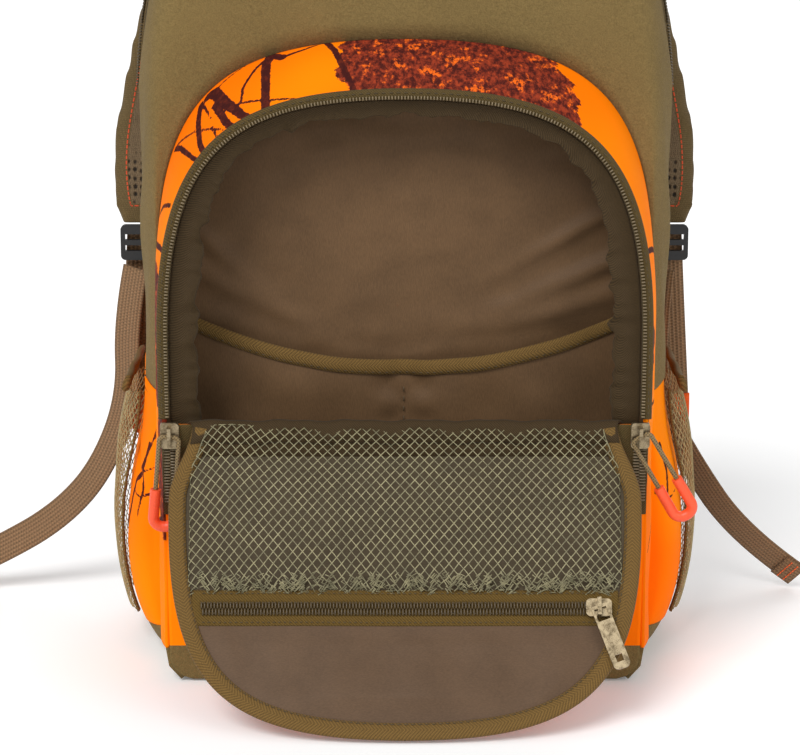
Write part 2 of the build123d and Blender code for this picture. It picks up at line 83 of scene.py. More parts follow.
def line(a, b, n=30):
    t = np.linspace(0, 1, n + 1)[:, None]
    return np.array(a, float) * (1 - t) + np.array(b, float) * t


def lengths(points):
    return np.concatenate([[0], np.cumsum(np.linalg.norm(np.diff(points, axis=0), axis=1))])


def spaced(points, n):
    """n points evenly spaced along a polyline."""
    along = lengths(points)
    at = np.linspace(0, along[-1], n)
    return np.stack([np.interp(at, along, points[:, k]) for k in range(points.shape[1])], axis=1)


def smooth_table(x, xs, ys):
    """A smooth curve through a short table, without overshoot."""
    xs, ys, x = np.array(xs, float), np.array(ys, float), np.clip(x, xs[0], xs[-1])
    d = np.diff(ys) / np.diff(xs)
    mean = 2 * d[:-1] * d[1:] / (d[:-1] + d[1:] + 1e-12)
    m = np.concatenate([[d[0]], np.where(d[:-1] * d[1:] > 0, mean, 0), [d[-1]]])
    i = np.clip(np.searchsorted(xs, x, side="right") - 1, 0, len(d) - 1)
    h = xs[i + 1] - xs[i]
    t = (x - xs[i]) / h
    return (
        (1 + 2 * t) * (1 - t) ** 2 * ys[i]
        + t * (1 - t) ** 2 * h * m[i]
        + t**2 * (3 - 2 * t) * ys[i + 1]
        + t**2 * (t - 1) * h * m[i + 1]
    )


def rounded(wide, low, narrow, high, square, n):
    """A quarter of a rounded arch, from its foot at (wide, low) to its top at (narrow, high)."""
    shoulder = (narrow + square * (wide - narrow), high)
    return bezier(((wide, low), (wide, low + square * (high - low)), shoulder, (narrow, high)), n)


def hump(value, centre, width):
    """1 at the centre, falling smoothly to 0 a couple of widths away."""
    return np.exp(-(((value - centre) / width) ** 2))


def body_outline(y):
    """Half of the main compartment's section at one Y, from the middle of the foot up to the crown."""
    less, lower = smooth_table(y, STATION_Y, STATION_NARROWER), smooth_table(y, STATION_Y, STATION_LOWER)
    foot, hip, half, top = 139 - less, 165 - less, 153 - less, 480 - lower
    return chain(
        line((0, 0), (foot, 0)),
        bezier(((foot, 0), (foot + 15, 4), (hip, 38), (hip, 72)), 40),
        bezier(((hip, 72), (hip, 112), (half, 125), (half, 165)), 40),
        line((half, 165), (half, 312)),
        rounded(half, 312, 45, top, 0.68, 80),
        line((45, top), (0, top)),
    )


def pocket_outline(half, top):
    """Half of the front pocket's section, from the middle of the foot up to the crown."""
    spring = 0.605 * top
    return chain(
        line((0, 0), (half - 14, 0)),
        bezier(((half - 14, 0), (half - 3, 0), (half, 8), (half, 26)), 20),
        line((half, 26), (half, spring)),
        rounded(half, spring, 0, top, MOUTH_SQUARE, 90),
    )


def above(outline, low, high=None):
    """The part of a half outline above one height and, when given, below another, on its outer side."""
    first = int(np.argmax(outline[:, 0] >= outline[:, 0].max() * 0.6))
    outline = outline[first:]
    start = int(np.argmax(outline[:, 1] >= low))
    cut = outline[start:]
    if start:
        a, b = outline[start - 1], outline[start]
        cut = np.concatenate([[a + (b - a) * (low - a[1]) / (b[1] - a[1])], cut])
    if high is not None:
        end = int(np.argmax(cut[:, 1] >= high))
        a, b = cut[end - 1], cut[end]
        cut = np.concatenate([cut[:end], [a + (b - a) * (high - a[1]) / (b[1] - a[1])]])
    return cut


def seam_z(y):
    return float(np.interp(y, SEAM_Y, SEAM_Z))


def both_sides(half):
    """A half grid mirrored to the other side: from the right foot over the crown to the left foot."""
    other = half[:, ::-1][:, 1:].copy()
    other[..., 0] *= -1
    return np.concatenate([half, other], axis=1)


MOUTH_RISE = np.array((0.0, 12.0, 177.0))
MOUTH_LONG = float(np.linalg.norm(MOUTH_RISE))
BOW_R = (MOUTH_LONG**2 / 4 + BOW**2) / (2 * BOW)


class Sheet:
    """A surface through the fold: u across, v away from the fold and w out of the pack's front."""

    def __init__(self, direction, bowed=True):
        self.along = unit(direction)
        self.out = np.cross((1.0, 0.0, 0.0), self.along)
        self.bowed = bowed

    def at(self, u, v, w=0.0):
        u, v, w = np.broadcast_arrays(np.array(u, float), v, w)
        if self.bowed:
            w = w + np.sqrt(np.maximum(BOW_R**2 - (v - MOUTH_LONG / 2) ** 2, 1)) - (BOW_R - BOW)
        across = np.array((1.0, 0.0, 0.0))
        return HINGE + u[..., None] * across + v[..., None] * self.along + w[..., None] * self.out


MOUTH = Sheet(MOUTH_RISE)
FLAP = Sheet((0, -math.sin(math.radians(30)), -math.cos(math.radians(30))))
PANEL = Sheet((0, -18, 155), bowed=False)


def arch(n, low=0.0):
    """Evenly spaced points round the mouth's arch, right foot to left, with their outward normals."""
    right = chain(
        line((MOUTH_HALF, low), (MOUTH_HALF, MOUTH_SPRING), 20),
        rounded(MOUTH_HALF, MOUTH_SPRING, 0, MOUTH_LONG, MOUTH_SQUARE, 200),
    )
    whole = np.concatenate([right, right[::-1][1:] * (-1, 1)])
    points = spaced(whole, n)
    step = np.gradient(points, axis=0)
    step /= np.linalg.norm(step, axis=1)[:, None]
    return points, np.stack([step[:, 1], -step[:, 0]], axis=1)


def pocket_front_y(z):
    """How far forward the front pocket's rim stands at each height."""
    if z < HINGE[2]:
        return -86 - 18 * z / 155
    if z < 332:
        lean = (z - HINGE[2]) / MOUTH_RISE[2]
        middle = 1 - (2 * lean - 1) ** 2
        return HINGE[1] + 12 * lean - BOW * middle
    return -92 + (z - 332) * 10.5 / 38


def band_grid(columns, rows, low=FOOT_Z):
    """The front pocket's side and top walls: rows run from the rim back to the main compartment."""
    back = spaced(above(pocket_outline(BAND_HALF, BAND_TOP), low), columns)
    front = spaced(above(pocket_outline(133.0, 324.5), low), columns)
    grid = np.zeros((rows, columns, 3))
    for i in range(columns):
        lo, hi = 0.0, 1.0
        for _ in range(30):
            mid = (lo + hi) / 2
            z = back[i, 1] + (front[i, 1] - back[i, 1]) * mid
            lo, hi = (mid, hi) if FRONT_Y - 69 * mid > pocket_front_y(z) else (lo, mid)
        for k, r in enumerate(np.linspace(lo, 0, rows)):
            x, z = back[i] + (front[i] - back[i]) * r
            grid[k, i] = (x, FRONT_Y - 69 * r, z)
    return both_sides(grid)


# ---------------- the camera
def add_camera():
    data = bpy.data.cameras.new("camera")
    data.lens, data.sensor_width = 122.7, 36.0
    data.clip_end = 20
    camera = bpy.data.objects.new("camera", data)
    camera.location = (-0.00275, -1.5722, 0.4925)
    camera.rotation_euler = (math.radians(78), 0, 0)
    bpy.context.scene.collection.objects.link(camera)
    bpy.context.scene.camera = camera


add_camera()


# ---------------- materials
class Paint:
    """A material and the few node steps that its pattern takes."""

    def __init__(self, name, color, roughness=0.8, **sockets):
        self.material = bpy.data.materials.new(name)
        self.material.use_nodes = True
        self.tree = self.material.node_tree
        self.bsdf = self.tree.nodes["Principled BSDF"]
        self.plug(self.bsdf.inputs["Base Color"], color)
        self.bsdf.inputs["Roughness"].default_value = roughness
        for key, value in sockets.items():
            self.bsdf.inputs[key.replace("_", " ")].default_value = value
        self._place = None

    def new(self, kind, **settings):
        node = self.tree.nodes.new(kind)
        for key, value in settings.items():
            setattr(node, key, value)
        return node

    def plug(self, socket, value):
        if isinstance(value, bpy.types.NodeSocket):
            self.tree.links.new(value, socket)
        elif isinstance(value, tuple) and len(value) == 3 and socket.type == "RGBA":
            socket.default_value = (*value, 1)
        else:
            socket.default_value = value

    def place(self):
        """The point on the object, in metres."""
        if self._place is None:
            self._place = self.new("ShaderNodeTexCoord").outputs["Object"]
        return self._place

    def attribute(self, name, output="Vector"):
        return self.new("ShaderNodeAttribute", attribute_name=name).outputs[output]

    def parts(self, vector):
        node = self.new("ShaderNodeSeparateXYZ")
        self.plug(node.inputs[0], vector)
        return node.outputs

    def math(self, operation, a, b=0.0, c=0.0):
        node = self.new("ShaderNodeMath", operation=operation)
        for socket, value in zip(node.inputs, (a, b, c)):
            self.plug(socket, value)
        return node.outputs[0]

    def scaled(self, vector, factors):
        node = self.new("ShaderNodeVectorMath", operation="MULTIPLY")
        self.plug(node.inputs[0], vector)
        node.inputs[1].default_value = factors
        return node.outputs[0]

    def noise(self, vector, scale, detail=2.0, roughness=0.5):
        node = self.new("ShaderNodeTexNoise")
        self.plug(node.inputs["Vector"], vector)
        node.inputs["Scale"].default_value = scale
        node.inputs["Detail"].default_value = detail
        node.inputs["Roughness"].default_value = roughness
        return node.outputs["Fac"]

    def wave(self, phase):
        """0 to 1 and back, once per unit of phase."""
        return self.math("MULTIPLY_ADD", self.math("SINE", self.math("MULTIPLY", phase, math.tau)), 0.5, 0.5)

    def span(self, value, low, high, to_low=0.0, to_high=1.0):
        node = self.new("ShaderNodeMapRange", interpolation_type="SMOOTHSTEP")
        for socket, number in zip(node.inputs, (value, low, high, to_low, to_high)):
            self.plug(socket, number)
        return node.outputs[0]

    def mix(self, amount, a, b, blend="MIX"):
        node = self.new("ShaderNodeMix", data_type="RGBA", blend_type=blend)
        for socket, value in zip((node.inputs[0], node.inputs[6], node.inputs[7]), (amount, a, b)):
            self.plug(socket, value)
        return node.outputs[2]

    def shade(self, color, factor):
        """A colour made darker or lighter by a factor that varies over the surface."""
        node = self.new("ShaderNodeVectorMath", operation="SCALE")
        self.plug(node.inputs[0], color)
        self.plug(node.inputs["Scale"], factor)
        return node.outputs[0]

    def color(self, value):
        self.plug(self.bsdf.inputs["Base Color"], value)

    def speckle(self, color, tone, noise, spread):
        """The colour made lighter and darker by a tone, with some noise added to it."""
        self.color(self.shade(color, self.math("ADD", tone, self.span(noise, 0.3, 0.7, -spread, spread))))

    def bump(self, height, depth_mm, strength=1.0):
        node = self.new("ShaderNodeBump")
        node.inputs["Distance"].default_value = depth_mm * MM
        node.inputs["Strength"].default_value = strength
        self.plug(node.inputs["Height"], height)
        self.plug(self.bsdf.inputs["Normal"], node.outputs[0])


OLIVE_FLEECE = (0.185, 0.127, 0.046)
BLAZE, BLAZE_DEEP = (1.0, 0.245, 0.001), (1.0, 0.180, 0.001)


def fleece_paint():
    nap = {"Sheen_Weight": 0.04, "Sheen_Roughness": 0.45, "Specular_IOR_Level": 0.15}
    p = Paint("fleece", (0.2, 0.13, 0.05), 0.92, **nap)
    nap = p.noise(p.place(), 1300, 3, 0.65)
    mottle = p.noise(p.place(), 380, 3, 0.6)
    broad = p.noise(p.place(), 14, 2)
    tone = p.math("ADD", p.span(nap, 0.3, 0.7, 0.80, 1.16), p.span(mottle, 0.3, 0.7, -0.05, 0.05))
    tone = p.math("ADD", tone, p.span(broad, 0.3, 0.7, -0.05, 0.05))
    p.color(p.shade(OLIVE_FLEECE, tone))
    p.bump(p.math("ADD", nap, mottle), 0.9, 0.75)
    return p.material


def camo_paint(name="blaze_camo"):
    p = Paint(name, (0.95, 0.23, 0.01), 0.7, Specular_IOR_Level=0.04)
    ragged = p.noise(p.place(), 420, 3, 0.6)
    rough_edge = p.math("MULTIPLY_ADD", ragged, 1.6, -0.8)
    branch = p.math("ADD", p.attribute("branch", "Fac"), rough_edge)
    torn_edge = p.math("MULTIPLY_ADD", p.noise(p.place(), 85, 5, 0.72), 20, -10)
    bark = p.math("ADD", p.attribute("bark", "Fac"), torn_edge)
    streaks = p.noise(p.scaled(p.place(), (1.0, 0.6, 0.6)), 330, 6, 0.75)
    patches = p.noise(p.place(), 85, 4, 0.62)
    wood = p.mix(p.span(streaks, 0.4, 0.62), (0.06, 0.012, 0.010), (0.32, 0.045, 0.018))
    wood = p.mix(p.span(p.math("MULTIPLY", patches, streaks), 0.29, 0.36), wood, (0.9, 0.15, 0.012))
    twig = p.mix(p.span(streaks, 0.45, 0.7), (0.052, 0.011, 0.010), (0.13, 0.022, 0.012))
    ground = p.mix(p.span(p.noise(p.place(), 9, 1), 0.35, 0.65), BLAZE, BLAZE_DEEP)
    shown = p.mix(p.span(bark, 0.4, -0.4), ground, wood)
    shown = p.mix(p.span(branch, 0.25, -0.25), shown, twig)
    p.color(shown)
    threads = p.noise(p.place(), 2600, 1)
    p.bump(threads, 0.12, 0.4)
    return p.material


def lining_paint(name="lining", color=(0.117, 0.065, 0.030), grain=(1.0, 1.0, 0.16)):
    p = Paint(name, color, 0.55, Sheen_Weight=0.04, Specular_IOR_Level=0.15)
    threads = p.noise(p.scaled(p.place(), grain), 2400, 2, 0.6)
    cloudy = p.noise(p.place(), 45, 3)
    tone = p.math("ADD", p.span(threads, 0.3, 0.7, 0.88, 1.1), p.span(cloudy, 0.3, 0.7, -0.07, 0.07))
    p.color(p.shade(color, tone))
    p.bump(p.math("ADD", threads, p.math("MULTIPLY", cloudy, 4.0)), 0.25, 0.35)
    return p.material


def twill_paint(name, color, pitch=1.6, herringbone=0.0, contrast=0.3, roughness=0.75):
    """Diagonal ribs, turned over at each herringbone width, along the mesh's cloth coordinates in mm."""
    p = Paint(name, color, roughness, Sheen_Weight=0.04, Specular_IOR_Level=0.15)
    along, across, _ = p.parts(p.attribute("cloth"))
    if herringbone:
        across = p.math("PINGPONG", across, herringbone)
    rib = p.wave(p.math("DIVIDE", p.math("ADD", along, across), pitch))
    yarn = p.wave(p.math("DIVIDE", p.math("SUBTRACT", along, across), pitch * 0.62))
    fuzz = p.noise(p.place(), 1500, 2, 0.6)
    height = p.math("ADD", rib, p.math("MULTIPLY", yarn, 0.45))
    p.speckle(color, p.span(height, 0.1, 1.4, 1 - contrast, 1 + contrast), fuzz, 0.12)
    p.bump(height, 0.22, 0.8)
    return p.material


def webbing_paint(name="webbing", color=(0.235, 0.135, 0.068)):
    p = Paint(name, color, 0.6, Sheen_Weight=0.04, Specular_IOR_Level=0.15)
    along, across, _ = p.parts(p.attribute("cloth"))
    cord = p.wave(p.math("DIVIDE", across, 2.5))
    row = p.math("FLOOR", p.math("DIVIDE", across, 2.5))
    pick = p.wave(p.math("ADD", p.math("DIVIDE", along, 1.9), p.math("MULTIPLY", row, 0.5)))
    height = p.math("ADD", p.math("MULTIPLY", cord, 0.7), p.math("MULTIPLY", pick, 0.6))
    fuzz = p.noise(p.place(), 1200, 2, 0.6)
    p.speckle(color, p.span(height, 0.1, 1.2, 0.62, 1.2), fuzz, 0.12)
    p.bump(height, 0.4, 0.9)
    return p.material


def weave_paint(name, color, scale=1.0, roughness=0.75):
    """Plain woven cloth, from the point's place in the object."""
    p = Paint(name, color, roughness, Sheen_Weight=0.04, Specular_IOR_Level=0.15)
    x, y, z = p.parts(p.scaled(p.place(), (900 / scale, 900 / scale, 900 / scale)))
    cloth = p.math("MULTIPLY", p.wave(p.math("ADD", x, y)), p.wave(z))
    fuzz = p.noise(p.place(), 700, 3, 0.6)
    p.speckle(color, p.span(cloth, 0.0, 1.0, 0.85, 1.15), fuzz, 0.12)
    p.bump(p.math("ADD", cloth, fuzz), 0.25, 0.6)
    return p.material


def plastic_paint(name, color, roughness=0.45, grain=2200, depth=0.05, spread=0.08, **sockets):
    p = Paint(name, color, roughness, **sockets)
    fine = p.noise(p.place(), grain, 2, 0.6)
    broad = p.noise(p.place(), grain / 12, 2, 0.6)
    p.speckle(color, p.span(fine, 0.3, 0.7, 1 - spread, 1 + spread), broad, spread)
    p.bump(fine, depth, 0.5)
    return p.material


def brass_paint():
    p = Paint("antique_brass", (0.3, 0.22, 0.11), 0.36, Metallic=0.92)
    wear = p.noise(p.place(), 260, 4, 0.65)
    fine = p.noise(p.place(), 1900, 2, 0.6)
    rubbed = p.span(p.math("ADD", wear, p.math("MULTIPLY", fine, 0.4)), 0.5, 0.85)
    p.color(p.mix(rubbed, (0.155, 0.115, 0.065), (0.40, 0.32, 0.20)))
    p.plug(p.bsdf.inputs["Roughness"], p.span(wear, 0.3, 0.7, 0.3, 0.5))
    p.bump(fine, 0.04, 0.4)
    return p.material


def cord_paint():
    p = Paint("pull_cord", (0.16, 0.11, 0.045), 0.7, Sheen_Weight=0.04)
    x, _, z = p.parts(p.scaled(p.place(), (520, 520, 520)))
    one, other = p.wave(p.math("ADD", z, x)), p.wave(p.math("SUBTRACT", z, x))
    braid = p.math("MAXIMUM", one, other)
    p.color(p.shade((0.20, 0.135, 0.055), p.span(braid, 0.3, 1.0, 0.45, 1.2)))
    p.bump(braid, 0.35, 0.8)
    return p.material


def pad_paint(name, cloth_color, stitch):
    """A padded strap or back pad: spacer mesh inside a cloth border, with a stitched line between them."""
    p = Paint(name, cloth_color, 0.8, Sheen_Weight=0.04, Specular_IOR_Level=0.15)
    edge = p.attribute("edge", "Fac")
    along = p.attribute("along", "Fac")
    face = p.attribute("mesh_side", "Fac")
    holes = p.new("ShaderNodeTexVoronoi", voronoi_dimensions="3D")
    holes.inputs["Randomness"].default_value = 0.25
    holes.inputs["Scale"].default_value = 250
    p.plug(holes.inputs["Vector"], p.scaled(p.place(), (1.0, 0.25, 0.8)))
    knit = p.span(holes.outputs["Distance"], 0.16, 0.42)
    fuzz = p.noise(p.place(), 1100, 3, 0.65)
    yarn = p.mix(knit, (0.018, 0.013, 0.009), (0.155, 0.105, 0.058))
    spacer = p.shade(yarn, p.span(fuzz, 0.3, 0.7, 0.75, 1.2))
    x, y, z = p.parts(p.scaled(p.place(), (800, 800, 800)))
    plain = p.math("MULTIPLY", p.wave(p.math("ADD", x, y)), p.wave(z))
    tone = p.math("ADD", p.span(plain, 0, 1, 0.85, 1.12), p.span(fuzz, 0.3, 0.7, -0.14, 0.14))
    cloth = p.shade(cloth_color, tone)
    inside = p.math("MULTIPLY", p.span(edge, 10.6, 11.2), p.span(face, 0.45, 0.55))
    shown = p.mix(inside, cloth, spacer)
    dash = p.span(p.math("PINGPONG", along, 1.7), 0.35, 0.6)
    row = p.math("MULTIPLY", p.span(p.math("ABSOLUTE", p.math("SUBTRACT", edge, 9.7)), 0.55, 0.3), dash)
    shown = p.mix(row, shown, stitch)
    p.color(shown)
    pits = p.math("MULTIPLY", inside, p.math("SUBTRACT", knit, 1.0))
    p.bump(p.math("ADD", p.math("MULTIPLY", pits, 3.0), p.math("ADD", plain, row)), 0.35, 0.8)
    return p.material


FLEECE = fleece_paint()
CAMO = camo_paint()
LINING = lining_paint()
FLAP_LINING = lining_paint("flap_lining", (0.100, 0.059, 0.033), (0.3, 1.0, 1.0))
# a darker copy of the flap's lining for the part under the net: painted shade under the net
NET_LINING_PAINTED_SHADE = lining_paint("net_lining_painted_shade", (0.066, 0.048, 0.026), (0.3, 1.0, 1.0))
TWILL = twill_paint("zip_tape", (0.082, 0.054, 0.017), 1.5)
FLAP_TAPE = twill_paint("flap_zip_tape", (0.108, 0.063, 0.013), 1.7)
FACING = twill_paint("zip_facing", (0.047, 0.028, 0.010), 1.4, contrast=0.35, roughness=0.6)
BINDING = twill_paint("binding", (0.140, 0.080, 0.022), 1.9, herringbone=4.7, contrast=0.27)
WEBBING = webbing_paint()
TEETH = plastic_paint("zip_teeth", (0.165, 0.120, 0.062), 0.38)
TEETH_DARK = plastic_paint("zip_teeth_dark", (0.072, 0.047, 0.018), 0.42)
NET = plastic_paint("mesh_yarn", (0.25, 0.225, 0.125), 0.6, spread=0.3)
# the side pockets' mesh yarn: its own olive, made brighter as painted light, since the side pockets lie in
# shade
SIDE_NET_PAINTED_LIGHT = plastic_paint("side_mesh_yarn_painted_light", (0.34, 0.26, 0.115), 0.65, spread=0.2)
BRASS = brass_paint()
CORD = cord_paint()
RUBBER = plastic_paint("orange_rubber", (0.88, 0.085, 0.022), 0.42, 900, 0.08, 0.05, Subsurface_Weight=0.08)
ORANGE = weave_paint("orange_fabric", (0.93, 0.13, 0.02), 0.8, 0.65)
OLIVE = weave_paint("olive_cloth", (0.128, 0.085, 0.034))
STRAP = pad_paint("strap_cloth", (0.128, 0.085, 0.034), (0.62, 0.08, 0.03))
PAD = pad_paint("back_pad_cloth", (0.115, 0.078, 0.033), (0.10, 0.07, 0.03))
PLASTIC = plastic_paint("black_plastic", (0.013, 0.013, 0.014), 0.42, 3000, 0.06)
THREAD = plastic_paint("stitching", (0.075, 0.052, 0.024), 0.7)
ORANGE_THREAD = plastic_paint("orange_stitching", (0.9, 0.13, 0.02), 0.6)


# ---------------- meshes
def add_mesh(name, points, faces, materials, smooth=True, indices=None, **attributes):
    """Points in millimetres. Each attribute has one number or vector a point."""
    mesh = bpy.data.meshes.new(name)
    points = np.asarray(points, float).reshape(-1, 3) * MM
    mesh.from_pydata(points.tolist(), [], faces if isinstance(faces, list) else faces.tolist())
    for material in materials if isinstance(materials, (list, tuple)) else [materials]:
        mesh.materials.append(material)
    for key, values in attributes.items():
        values = np.asarray(values, np.float32)
        if values.reshape(len(points), -1).shape[1] == 1:
            mesh.attributes.new(key, "FLOAT", "POINT").data.foreach_set("value", values.ravel())
        else:
            mesh.attributes.new(key, "FLOAT_VECTOR", "POINT").data.foreach_set("vector", values.ravel())
    if indices is not None:
        mesh.polygons.foreach_set("material_index", np.asarray(indices, np.int32))
    if smooth:
        mesh.polygons.foreach_set("use_smooth", np.ones(len(mesh.polygons), bool))
    mesh.update()
    obj = bpy.data.objects.new(name, mesh)
    bpy.context.scene.collection.objects.link(obj)
    return obj


def quads(rows, columns, ring=False):
    """A grid's faces. A ring's last column joins its first."""
    i = np.arange(rows * columns).reshape(rows, columns)
    right = np.roll(i, -1, axis=1) if ring else i[:, 1:]
    left = i if ring else i[:, :-1]
    return np.stack([left[:-1], right[:-1], right[1:], left[1:]], axis=-1).reshape(-1, 4)


def cloth_of(grid):
    """Cloth coordinates in millimetres: along a row, and across the rows."""
    along = np.zeros(grid.shape[:2])
    along[:, 1:] = np.cumsum(np.linalg.norm(np.diff(grid, axis=1), axis=2), axis=1)
    middle = along[:, along.shape[1] // 2 : along.shape[1] // 2 + 1]
    across = np.zeros(grid.shape[:2])
    across[1:] = np.cumsum(np.linalg.norm(np.diff(grid, axis=0), axis=2), axis=0)
    return np.stack([along - middle, across, np.zeros_like(across)], axis=-1)


def finished(obj):
    """The object with its modifiers applied."""
    bpy.context.view_layer.update()
    evaluated = obj.evaluated_get(bpy.context.evaluated_depsgraph_get())
    mesh = bpy.data.meshes.new_from_object(evaluated)
    obj.modifiers.clear()
    old, obj.data = obj.data, mesh
    bpy.data.meshes.remove(old)
    return obj


def thicken(obj, mm, inner=0, offset=-1.0):
    """Gives cloth its thickness, with the material `inner` places further on as its inner side."""
    layer = obj.modifiers.new("thickness", "SOLIDIFY")
    layer.thickness, layer.offset = mm * MM, offset
    layer.material_offset = inner
    layer.use_quality_normals = True
    return finished(obj)


def ride(obj, body, slot, *nodes):
    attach(obj, body)
    if nodes:
        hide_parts(*nodes)
    return obj


def cloud(points, size_mm, seed=0.0):
    """Smooth noise from -1 to 1 at each point."""
    flat = np.asarray(points, float).reshape(-1, 3) / size_mm + seed
    values = np.array([noise.noise(Vector(p)) for p in flat])
    return values.reshape(np.asarray(points).shape[:-1])


def normals_of(grid):
    du = np.gradient(grid, axis=1)
    dv = np.gradient(grid, axis=0)
    n = np.cross(du, dv)
    return n / np.maximum(np.linalg.norm(n, axis=2), 1e-9)[..., None]


def sweep(name, rings, materials, caps=True, **settings):
    """A closed skin through rings of points, (ring, point, xyz)."""
    rings = np.asarray(rings, float)
    count, around, _ = rings.shape
    faces = quads(count, around, ring=True).tolist()
    if caps:
        faces.append(list(range(around))[::-1])
        faces.append(list(range((count - 1) * around, count * around)))
    along = np.concatenate([[0], np.cumsum(np.linalg.norm(np.diff(rings.mean(1), axis=0), axis=1))])
    start = rings[:, :1]
    across = np.linalg.norm(rings - start, axis=2)
    cloth = np.stack([np.broadcast_to(along[:, None], across.shape), across, 0 * across], axis=-1)
    return add_mesh(name, rings, faces, materials, cloth=cloth, **settings)


STRAP_EDGE = ((-0.5, 0.0), (-0.47, 0.5), (-0.25, 0.5), (0.0, 0.5), (0.25, 0.5), (0.47, 0.5))
STRAP_RING = STRAP_EDGE + tuple((-a, -b) for a, b in STRAP_EDGE)


def strap(name, points, across, wide, thick, material):
    """Webbing along points, with a width direction at each of them."""
    points, across = np.asarray(points, float), np.asarray(across, float)
    across = np.broadcast_to(across, points.shape)
    along = np.gradient(points, axis=0)
    along /= np.linalg.norm(along, axis=1)[:, None]
    across = across - (across * along).sum(1)[:, None] * along
    across = across / np.linalg.norm(across, axis=1)[:, None]
    up = np.cross(along, across)
    rings = np.stack([points + a * wide * across + b * thick * up for a, b in STRAP_RING], axis=1)
    return sweep(name, rings, material)


def teeth(name, origin, along, across, up, size, material):
    """Small rounded links: size is along the zip, across it and its height."""
    ends = ((-0.5, 0.55), (-0.36, 1.0), (0.36, 1.0), (0.5, 0.55))
    turn = np.arange(6) * math.tau / 6
    local = [(0.5 * s * math.cos(t), a, 0.5 * s * math.sin(t)) for a, s in ends for t in turn]
    local = np.array(local) * size
    points = (
        origin[:, None]
        + local[None, :, 0:1] * along[:, None]
        + local[None, :, 1:2] * across[:, None]
        + local[None, :, 2:3] * up[:, None]
    )
    one = quads(4, 6, ring=True).tolist() + [[5, 4, 3, 2, 1, 0], [18, 19, 20, 21, 22, 23]]
    faces = [[24 * k + i for i in face] for k in range(len(origin)) for face in one]
    return add_mesh(name, points, faces, material)


def tubes(name, lines, radius, material, sides=4):
    """Thin strands along polylines."""
    points, faces, first = [], [], 0
    turn = np.arange(sides) * math.tau / sides
    for path in lines:
        path = np.asarray(path, float)
        if len(path) < 2:
            continue
        along = np.gradient(path, axis=0)
        along /= np.maximum(np.linalg.norm(along, axis=1), 1e-9)[:, None]
        side = np.cross(along, (0.31, 0.87, 0.37))
        side /= np.maximum(np.linalg.norm(side, axis=1), 1e-9)[:, None]
        other = np.cross(along, side)
        round_it = np.cos(turn)[:, None] * side[:, None] + np.sin(turn)[:, None] * other[:, None]
        ring = path[:, None] + radius * round_it
        points.append(ring.reshape(-1, 3))
        faces.append(quads(len(path), sides, ring=True) + first)
        ends = np.array([np.arange(sides)[::-1], np.arange(sides) + (len(path) - 1) * sides]) + first
        faces.append(ends)
        first += len(path) * sides
    faces = [face for block in faces for face in block.tolist()]
    return add_mesh(name, np.concatenate(points), faces, material)


def net_lines(surface, u_range, v_range, wide, tall, step=1.6):
    """Two families of strands that make diamonds, wide by tall, over a surface of u and v."""
    lines = []
    slope = tall / wide
    (u0, u1), (v0, v1) = u_range, v_range
    for sign in (1, -1):
        reach = (u1 - u0) * slope
        shift = np.arange(v0 - reach, v1 + reach, tall)
        for c in shift:
            length = math.hypot(u1 - u0, reach)
            u = np.linspace(u0, u1, int(length / step))
            v = c + sign * slope * (u - (u0 if sign > 0 else u1))
            inside = (v >= v0) & (v <= v1)
            if inside.sum() > 2:
                lines.append(surface(u[inside], v[inside]))
    return lines


# ---------------- printed branches
def stroke_field(at, strokes):
    """Distance to the nearest printed stroke's edge. A stroke is (width at start, at end, points)."""
    at = np.asarray(at, float)
    best = np.full(at.shape[:-1], 50.0)
    for start_wide, end_wide, points in strokes:
        points = np.array(points, float)
        run = lengths(points)
        for k in range(len(points) - 1):
            a, d = points[k], points[k + 1] - points[k]
            t = np.clip(((at - a) @ d) / max(d @ d, 1e-9), 0, 1)
            gap = np.linalg.norm(at - a - t[..., None] * d, axis=-1)
            share = (run[k] + t * (run[k + 1] - run[k])) / run[-1]
            best = np.minimum(best, gap - 0.5 * (start_wide + (end_wide - start_wide) * share))
    return best


def random_branches(seed, low, high, count, wide=4.0):
    """Crossing branches with side twigs, over a rectangle in millimetres."""
    rng = random.Random(seed)
    strokes = []
    for _ in range(count):
        x, y = rng.uniform(low[0], high[0]), rng.uniform(low[1], high[1])
        heading = rng.uniform(0.6, 2.5)
        points, width = [(x, y)], rng.uniform(0.45, 1.0) * wide
        for _ in range(rng.randint(4, 6)):
            heading += rng.uniform(-0.35, 0.35)
            x, y = x + 17 * math.cos(heading), y + 17 * math.sin(heading)
            points.append((x, y))
            if rng.random() < 0.6:
                side = heading + rng.choice((-1, 1)) * rng.uniform(0.5, 1.1)
                x1, y1 = x + 13 * math.cos(side), y + 13 * math.sin(side)
                twig = [(x, y), (x1, y1), (x1 + 12 * math.cos(side + 0.3), y1 + 12 * math.sin(side + 0.3))]
                strokes.append((0.45 * width, 0.7, twig))
        strokes.append((width, 1.0, points))
    return strokes


def blot_field(at, blots):
    """Distance outside the nearest patch of bark. A blot is (x, y, half width, half height)."""
    best = np.full(np.asarray(at).shape[:-1], 50.0)
    for x, y, rx, ry in blots:
        gap = np.sqrt(((at[..., 0] - x) / rx) ** 2 + ((at[..., 1] - y) / ry) ** 2)
        best = np.minimum(best, (gap - 1) * min(rx, ry))
    return best




# ---------------- free ends of the adjusting webbing
# The CAD's routes: each hangs from its ladder lock and ends on the ground beside the pack. x and z in metres.
TAIL_Y, TAIL_WIDE, TAIL_THICK, TAIL_LEAN = 0.099, 0.020, 0.0016, math.radians(35)
TAILS = {
    "left": (
        (-0.167, 0.207),
        (-0.174, 0.172),
        (-0.173, 0.124),
        (-0.191, 0.078),
        (-0.218, 0.048),
        (-0.257, 0.025),
        (-0.292, 0.0092),
    ),
    "right": (
        (0.159, 0.207),
        (0.155, 0.168),
        (0.158, 0.124),
        (0.178, 0.086),
        (0.212, 0.036),
        (0.250, 0.0092),
    ),
}


